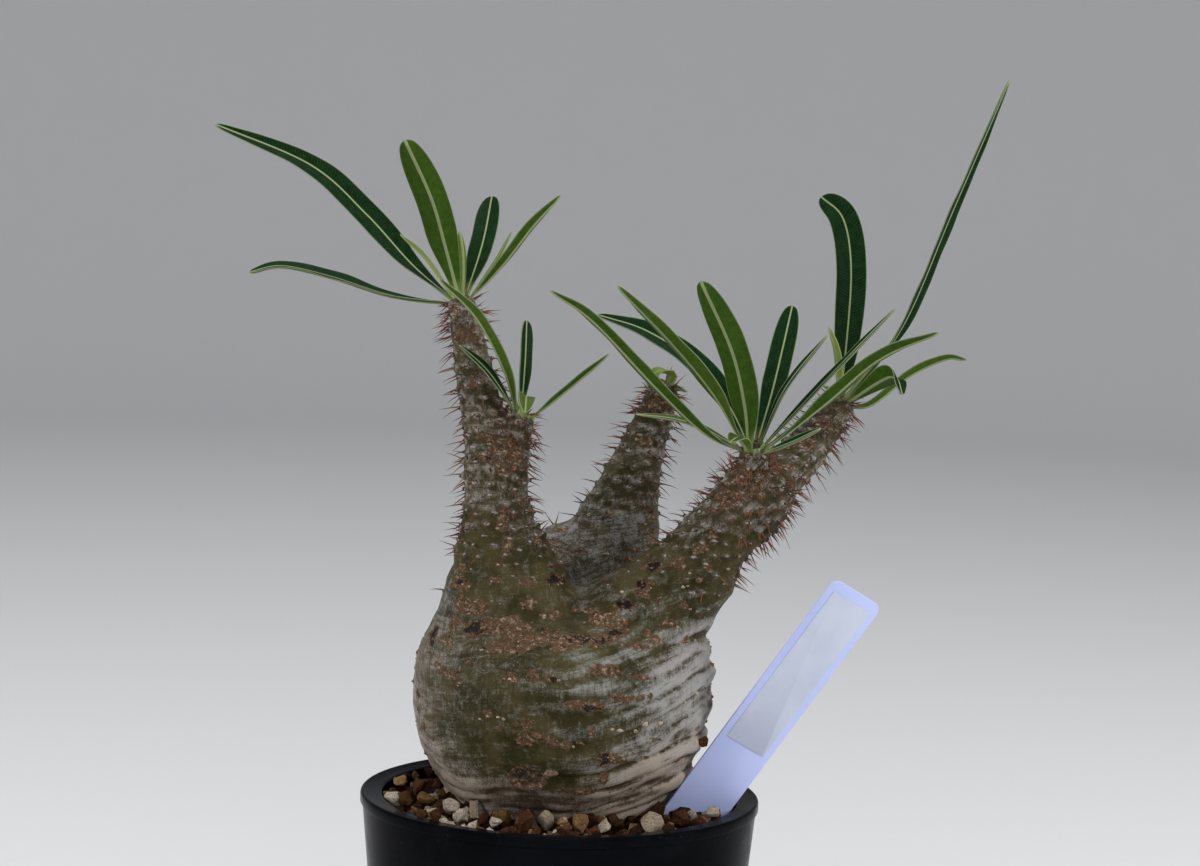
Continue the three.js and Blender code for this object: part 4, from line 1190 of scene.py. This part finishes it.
def add_leaf(heap, neck, axis, outward, rng, points, width, turn, blunt=False, young=0):
    """A folded blade of real thickness, with its midrib, margins and a slight wave."""
    coarse, _ = smooth_curve([neck, *points], np.linspace(0, 1, 60))
    length = np.linalg.norm(np.diff(coarse, axis=0), axis=1).sum()
    rows = max(int(length / LEAF["step"]), LEAF["least_rows"])
    shares = 1 - (1 - np.linspace(0, 1, rows)) ** (1.4 if blunt else 1.2)
    centre, along = smooth_curve([neck, *points], shares)
    across = np.cross(axis, outward)
    side = unit(across - along * (along @ across)[:, None])
    side = turned(side, along, math.radians(turn) * smoothstep(shares, 0, LEAF["twisted_by"]))
    up = np.cross(along, side)
    half = width / 2 * blade_width(shares, blunt)
    run = np.concatenate([[0], np.cumsum(np.linalg.norm(np.diff(centre, axis=0), axis=1))])
    # short broad leaves are cupped, long ones only folded a little
    fold = LEAF["fold"] * (1 + float(smoothstep(width / length, 0.25, 0.5)))
    columns = 15 if width > 5 else 11
    u = np.sin(np.linspace(-1, 1, columns) * np.pi / 2)
    loop = np.concatenate([u, u[::-1]])
    is_top = np.repeat([1.0, 0.0], columns)
    size = np.abs(loop)
    phase = rng.uniform(*ANY_ANGLE)
    vertices, blade = [], []
    for r, h in enumerate(half):
        from_rib = loop * h
        wave = 0.14 * np.sin(run[r] / 4.1 + phase + 1.3 * np.sign(loop))
        wave += 0.1 * np.sin(run[r] / 2.3 + phase)
        lift = fold * h * (size**1.35 - 0.22 * smoothstep(size, 0.7, 1.0))
        lift += wave * size**2 * min(h / 3.5, 1)
        thick = LEAF["half_thickness"] * (1 - 0.62 * size**2) * min(h / 1.2, 1)
        groove = LEAF["groove"][0] * bell(from_rib, 0, LEAF["groove"][1]) * min(h / 2, 1)
        rib = LEAF["rib"][0] * bell(from_rib, 0, LEAF["rib"][1]) * min(h / 1.5, 1)
        lift += np.where(is_top > 0, thick - groove, -thick - rib)
        vertices.append(centre[r] + side[r] * from_rib[:, None] + up[r] * lift[:, None])
        blade += [(v, run[r], h) for v in loop]
    sides = 2 * columns
    caps = [(k, sides - 1 - k, sides - 2 - k, k + 1) for k in range(columns - 1)]
    last = (rows - 1) * sides
    faces = ring_quads(rows, sides) + caps + [tuple(last + i for i in cap[::-1]) for cap in caps]
    neck_share = fade(run, 1.5, min(9, 0.4 * length))
    heap.add(
        np.concatenate(vertices), faces, blade=np.array(blade), top=np.tile(is_top, rows),
        young=young, neck=np.repeat(neck_share, sides),
    )


def directions_round(axis, count):
    """Directions spread round an axis by the golden angle."""
    side = unit(np.cross(axis, [0.3, 1, 0.1]))
    return turned(np.tile(side, (count, 1)), axis, GOLDEN_ANGLE * np.arange(count))


def add_bud(heap, tip, axis, rng):
    """The young leaves folded over a growing tip."""
    for out in directions_round(axis, CROWN["young_leaves"]):
        neck = tip + axis * rng.uniform(1.4, 3.0) + out * 1.5
        length = rng.uniform(2.5, 6.5)
        spread = rng.uniform(0.12, 0.5)
        middle = neck + axis * length * 0.55 + out * length * spread * 0.6
        end = neck + axis * length * (1 - 0.3 * spread) + out * length * spread
        add_leaf(heap, neck, axis, out, rng, [middle, end], rng.uniform(1.8, 3), 0, young=0.7)


def add_collar(heap, skin, tip, axis, radius, rng):
    """Brown bristles crowded under the leaves."""
    for out in directions_round(axis, CROWN["bristles"]):
        foot = skin.seat(tip + axis * rng.uniform(-6, radius) + 2 * out, unit(out + 0.2 * axis))
        heading = unit(out + axis * rng.normal(0.2, 0.6) + np.array([0, 0, -0.15]))
        add_spine(heap, foot, heading, rng.uniform(1.2, 4.2), rng.uniform(0.09, 0.2), 0.4)


def build_crown(name, skin, leaf, collars, rng):
    """An arm's leaves as one piece, and its collar, which is added to the others."""
    tip, axis, radius = tip_of(name)
    heap = Heap()
    for points, *shape in CROWNS[name]:
        away = points[-1] - tip
        outward = unit(away - axis * (away @ axis))
        neck = tip + CROWN["leaf_height"] * axis + CROWN["leaf_radius"] * outward
        add_leaf(heap, neck, axis, outward, rng, points, *shape)
    add_bud(heap, tip, axis, rng)
    add_collar(collars, skin, tip, axis, radius, rng)
    heap.piece(f"leaves_{name}", leaf, "leaf", [f"crown_{name}"])


# Gravel

STONE = {"points": 15, "bevel": 0.05, "kinds": (0.58, 0.24, 0.18)}
# The most stones of a layer, its height over the soil, how close they lie, and their sizes
LAYERS = {"low": (280, 0.1, 0.55, (2.4, 3.4)), "top": (330, 2.9, 0.58, (1.8, 4.4))}
STONE_TRIES = 7000
GRAVEL_FROM = 26.5


def stone_mesh(rng, fine):
    """A broken stone of about unit radius: the hull of scattered points, its edges worn."""
    mesh = bmesh.new()
    count = STONE["points"]
    places = unit(rng.normal(size=(count, 3))) * rng.uniform(0.82, 1.05, (count, 1))
    for place in places * rng.uniform((0.95, 0.75, 0.62), (1.2, 1.0, 0.9)):
        mesh.verts.new(place)
    made = bmesh.ops.convex_hull(mesh, input=mesh.verts)
    spare = {*made["geom_unused"], *made["geom_interior"]}
    bmesh.ops.delete(mesh, geom=[v for v in mesh.verts if v in spare], context="VERTS")
    if fine:
        bmesh.ops.bevel(
            mesh, geom=mesh.edges[:], offset=STONE["bevel"], segments=1, affect="EDGES",
            profile=0.5, clamp_overlap=True,
        )
        bmesh.ops.remove_doubles(mesh, verts=mesh.verts, dist=0.01)
        bmesh.ops.triangulate(mesh, faces=mesh.faces)
        bmesh.ops.subdivide_edges(mesh, edges=mesh.edges, cuts=1, use_grid_fill=True)
    bmesh.ops.triangulate(mesh, faces=mesh.faces)
    mesh.verts.index_update()
    vertices = np.array([v.co[:] for v in mesh.verts])
    faces = [tuple(v.index for v in f.verts) for f in mesh.faces]
    mesh.free()
    if fine:
        where = vertices + rng.uniform(0, 50, 3)
        vertices *= 1 + noises(where, (0.15, 0.6, 3), (0.1, 0.25, 5))[:, None]
    return vertices, faces


def random_turn(rng):
    basis = np.linalg.qr(rng.normal(size=(3, 3)))[0]
    return basis * np.sign(np.linalg.det(basis))


def label_frame():
    """The label's axes as rows: across, along and out of its face; and its top point."""
    soil, top = np.array(LABEL["soil_point"], float), np.array(LABEL["top_point"], float)
    along = unit(top - soil)
    face = np.array([0, -1.0, 0])
    face = unit(face - along * (face @ along))
    face = turned(face, along, math.radians(-LABEL["yaw"]))
    return np.array([np.cross(along, face), along, face]), top


def clear_of_label(place, size):
    axes, top = label_frame()
    across, _, out = axes @ (place - top)
    return abs(across) > LABEL["width"] / 2 + 0.6 * size or abs(out) > 0.75 * size


def lies_free(place, size, others, spacing):
    """Whether a stone is inside the pot's rim and clear of the caudex, the label and others."""
    if math.hypot(*place[:2]) + 0.85 * size > POT["rim_inner"]:
        return False
    if not clear_of_label(place, size) or distance_to_caudex(place[None])[0] < 0.25 * size:
        return False
    return all(np.linalg.norm(place - other) > spacing * (size + wide) for other, wide, _ in others)


def hides(place, size, stones):
    """Whether a stone would stand between the camera and one of these."""
    for other, wide, _ in stones:
        view = unit(other - np.array(CAMERA["place"]))
        offset = place - other
        nearer = -offset @ view
        if nearer > -0.5 * size and np.linalg.norm(offset + nearer * view) < 0.75 * (size + wide):
            return True
    return False


def front_stones():
    """The stones that the photograph shows, laid on the soil under their pixels."""
    found = []
    for x, y, half, kind in FRONT_STONES:
        size, ray = half * PIXEL, sight(x, y)
        level = SOIL_TOP + 1.4 + 0.6 * size
        place = np.array(CAMERA["place"]) + ray * (level - CAMERA["place"][2]) / ray[2]
        place[:2] *= min(1, (POT["rim_inner"] - 0.9 * size) / math.hypot(*place[:2]))
        if distance_to_caudex(place[None])[0] > 0.1 * size and clear_of_label(place, 0.8 * size):
            found.append((place, size, kind))
    return found


def gravel_places(rng):
    """Stones packed over the soil, the lower ones first."""
    seen = front_stones()
    stones = {"low": [], "top": list(seen)}
    for name, (count, height, spacing, sizes) in LAYERS.items():
        layer = stones[name]
        for _ in range(STONE_TRIES):
            if len(layer) >= count:
                break
            out = math.sqrt(rng.uniform(GRAVEL_FROM**2, POT["rim_inner"] ** 2))
            around = rng.uniform(0, 2 * math.pi)
            size = rng.uniform(*sizes)
            level = SOIL_TOP + height + rng.normal(0, 0.5)
            place = np.array([out * math.cos(around), out * math.sin(around), level])
            if lies_free(place, size, layer, spacing) and not hides(place, size, seen):
                layer.append((place, size, rng.choice(3, p=STONE["kinds"])))
    return stones


def build_gravel(skin, rng):
    """The stones as one piece for each kind, the lower ones plainer."""
    heaps = [Heap() for _ in STONES]
    stones = gravel_places(rng)
    stuck, normal = skin.seen_at(*STUCK_STONE["pixel"])
    stones["top"].append((stuck + STUCK_STONE["out"] * normal, STUCK_STONE["size"], 0))
    for name, layer in stones.items():
        for place, size, kind in layer:
            vertices, faces = stone_mesh(rng, name == "top")
            heaps[kind].add(vertices @ random_turn(rng) * size + place, faces, tone=rng.random())
    for heap, (name, tones) in zip(heaps, STONES.items()):
        sharpen(heap.piece(name, stone_material(name, *tones), "gravel", ["soil"]), 30)


def build_soil_bed(material):
    """The dusty ground between the stones, down to the pot's floor."""
    outer, floor = POT["rim_inner"] - 0.6, POT["floor"] + 0.4
    profile = [(20, floor), (POT["foot"] - POT["wall"] - 0.5, floor)]
    profile += [(r, SOIL_TOP - 0.6) for r in (outer, 51, 47, 43, 39, 35, 31, 27, 22)]
    vertices = np.array(ring_points(profile, 96))
    # the last ring joins the first
    faces = np.array(ring_quads(len(profile) + 1, 96)) % len(vertices)
    upper = vertices[:, 2] > SOIL_TOP / 2
    vertices[upper, 2] += 0.7 * noise(vertices[upper], 5, 21)
    make_piece("soil_bed", vertices, faces, material, ["soil"])


# Pot

def wall_radius(z):
    return lerp(POT["foot"], POT["taper_to"], z / (POT["height"] - POT["rim_depth"]))


def build_pot(material):
    top, low = POT["height"], POT["height"] - POT["rim_depth"]
    foot, wall, floor = POT["foot"], POT["wall"], POT["floor"]
    inner, rim, sides = POT["rim_inner"], POT["rim"], POT["sides"]
    # up the outside, over the rim and down the inside
    profile = [
        (foot - 1.2, 0), (foot - 0.5, 0.2), (foot, 0.8),
        (wall_radius(30), 30), (wall_radius(60), 60), (wall_radius(low - 0.6), low - 0.6),
        (wall_radius(low), low - 0.1), (rim - 0.2, low + 0.15), (rim, low + 0.5), (rim, top - 0.9),
        (rim - 0.12, top - 0.4), (rim - 0.45, top - 0.08), (rim - 0.9, top - 0.02),
        (rim - 1.3, top - 0.22), (inner + 1.2, top - 0.5), (inner + 0.4, top - 0.62),
        (inner + 0.1, top - 0.85), (inner, top - 1.3), (inner, low),
        (wall_radius(low - 3) - wall, low - 3), (wall_radius(50) - wall, 50),
        (wall_radius(floor) - wall, floor),
    ]
    vertices = [(0, 0, 0), (0, 0, floor), *ring_points(profile, sides)]
    faces = [face[::-1] for face in fan(0, 2, sides)] + ring_quads(len(profile), sides, 2)
    faces += fan(1, 2 + (len(profile) - 1) * sides, sides)
    piece = make_piece("pot_shell", vertices, faces, material, ["pot"])
    drill_drains(piece)
    sharpen(piece, 32)


def drill_drains(piece):
    mesh = bmesh.new()
    for i in range(DRAIN["count"]):
        angle = 2 * math.pi * (i + 0.5) / DRAIN["count"]
        out = Vector((math.cos(angle), math.sin(angle), 0)) * DRAIN["out"] * MM
        bmesh.ops.create_cone(
            mesh, cap_ends=True, segments=DRAIN["sides"], radius1=DRAIN["radius"] * MM,
            radius2=DRAIN["radius"] * MM, depth=12 * MM, matrix=Matrix.Translation(out),
        )
    data = bpy.data.meshes.new("drains")
    mesh.to_mesh(data)
    mesh.free()
    cutter = add_object("drains", data)
    cut = piece.modifiers.new("drains", "BOOLEAN")
    cut.operation, cut.solver, cut.object = "DIFFERENCE", "EXACT", cutter
    apply_modifiers(piece)
    bpy.data.objects.remove(cutter)


# Label

def rounded_corners(half, top, bottom, corner, steps, count=4):
    """A rectangle's outline, or its first corners, from its upper right one on."""
    x, high, low = half - corner, top - corner, bottom + corner
    points = []
    for quarter, (u, v) in enumerate([(x, high), (-x, high), (-x, low), (x, low)][:count]):
        for step in range(steps + 1):
            angle = math.pi / 2 * (quarter + step / steps)
            points.append((u + corner * math.cos(angle), v + corner * math.sin(angle)))
    return points


def build_plate(name, outline, front, back, material, slot, node, bevel):
    """A flat plate in the label's plane, between two depths, with bevelled edges."""
    axes, top = label_frame()
    flat = np.array([(x, y, z) for z in (back, front) for x, y in outline])
    piece = make_piece(name, flat @ axes + top, closed_tube(2, len(outline)), material, [node])
    edge = piece.modifiers.new("edge", "BEVEL")
    edge.width, edge.segments, edge.limit_method = bevel * MM, 2, "ANGLE"
    edge.angle_limit = math.radians(50)
    apply_modifiers(piece)
    sharpen(piece, 40)


def build_label():
    """The stake with its pointed foot, and its blank sticker."""
    half, foot = LABEL["width"] / 2, -LABEL["length"]
    stake = [(0, foot), (half, foot + LABEL["point"])]
    stake += rounded_corners(half, 0, foot, LABEL["corner"], 8, 2)
    stake += [(-half, foot + LABEL["point"])]
    depths = 0, -LABEL["thickness"]
    material = label_material()
    build_plate("stake", stake, *depths, material, "label_plastic", "label_stake", LABEL["bevel"])
    high = -STICKER["below"]
    paper = rounded_corners(
        STICKER["width"] / 2, high, high - STICKER["length"], STICKER["corner"], 4
    )
    depths = STICKER["front"], STICKER["back"]
    material = sticker_material()
    build_plate("sticker", paper, *depths, material, "label_paper", "label_sticker", STICKER["bevel"])


# Studio, in metres

BACKDROP = {"floor": 2.0, "curve": 0.9, "steps": 12, "height": 3.2, "sides": 96}
# Soft boxes: place, side, and power in watts
LIGHTS = {
    "left": ((-1.15, -0.45, 0.8), 0.7, 12),
    "right": ((1.2, -0.4, 0.75), 0.7, 14),
    "top": ((0, 0.4, 1.9), 1.2, 15),
    "front": ((0.1, -1.6, 0.9), 1.2, 6),
}
LIT_POINT = (0, 0, 0.17)
WORLD = {"Color": (0.85, 0.9, 1.0, 1), "Strength": 0.3}


def build_backdrop():
    """A pale floor that curves up into a pale wall all round."""
    out, curve, sides = BACKDROP["floor"], BACKDROP["curve"], BACKDROP["sides"]
    profile = [(1.2, 0), (out, 0)]
    for step in range(1, BACKDROP["steps"] + 1):
        angle = math.pi / 2 * step / BACKDROP["steps"]
        profile.append((out + curve * math.sin(angle), curve - curve * math.cos(angle)))
    profile.append((out + curve, BACKDROP["height"]))
    faces = fan(0, 1, sides) + [face[::-1] for face in ring_quads(len(profile), sides, 1)]
    mesh = bpy.data.meshes.new("backdrop")
    mesh.from_pydata([(0, 0, 0), *ring_points(profile, sides)], [], faces)
    mesh.shade_smooth()
    mesh.materials.append(Shader("backdrop", 0.1).finish((0.66, 0.66, 0.66), 0.9))
    floor = add_object("backdrop", mesh)


def build_lights():
    for name, (place, size, power) in LIGHTS.items():
        light = bpy.data.lights.new(name, "AREA")
        light.shape, light.size, light.energy = "SQUARE", size, power
        lamp = add_object(name, light)
        lamp.rotation_mode = "QUATERNION"
        lamp.rotation_quaternion = (Vector(place) - Vector(LIT_POINT)).to_track_quat("Z", "Y")
        lamp.location = place
    world = bpy.data.worlds.new("studio")
    world.use_nodes = True
    for key, value in WORLD.items():
        world.node_tree.nodes["Background"].inputs[key].default_value = value
    bpy.context.scene.world = world
    bpy.context.scene.view_settings.view_transform = "Standard"


def build_camera():
    right, up, forward = view_axes()
    data = bpy.data.cameras.new("view")
    data.lens, data.sensor_width, data.sensor_fit = CAMERA["lens"], CAMERA["sensor"], "HORIZONTAL"
    data.clip_start, data.clip_end = 0.01, 20
    camera = add_object("view", data)
    columns = (right, up, -forward, np.array(CAMERA["place"]) * MM)
    camera.matrix_world = Matrix([*np.stack(columns, axis=1).tolist(), [0, 0, 0, 1]])
    bpy.context.scene.camera = camera


SEED = 7

build_camera()
build_backdrop()
build_lights()

rng = np.random.default_rng(SEED)
bark, spine, leaf = skin_material(), spine_material(), leaf_material()
skin = Skin()
tubercles = tubercle_places(skin, rng)
skin.lay_folds()
skin.lay_colors()
skin.lay_marks(rng)
skin.lay_tubercles(tubercles, rng)
skin.piece(bark)
build_crusts(skin, cork_material(), rng)
build_knobs(skin, tubercles, bark, rng)
build_spines(skin, tubercles, spine, rng)

collars = Heap()
for name in CROWNS:
    build_crown(name, skin, leaf, collars, rng)
collars.piece("collars", spine, "bark")

build_soil_bed(soil_material())
build_gravel(skin, rng)
build_pot(pot_material())
build_label()
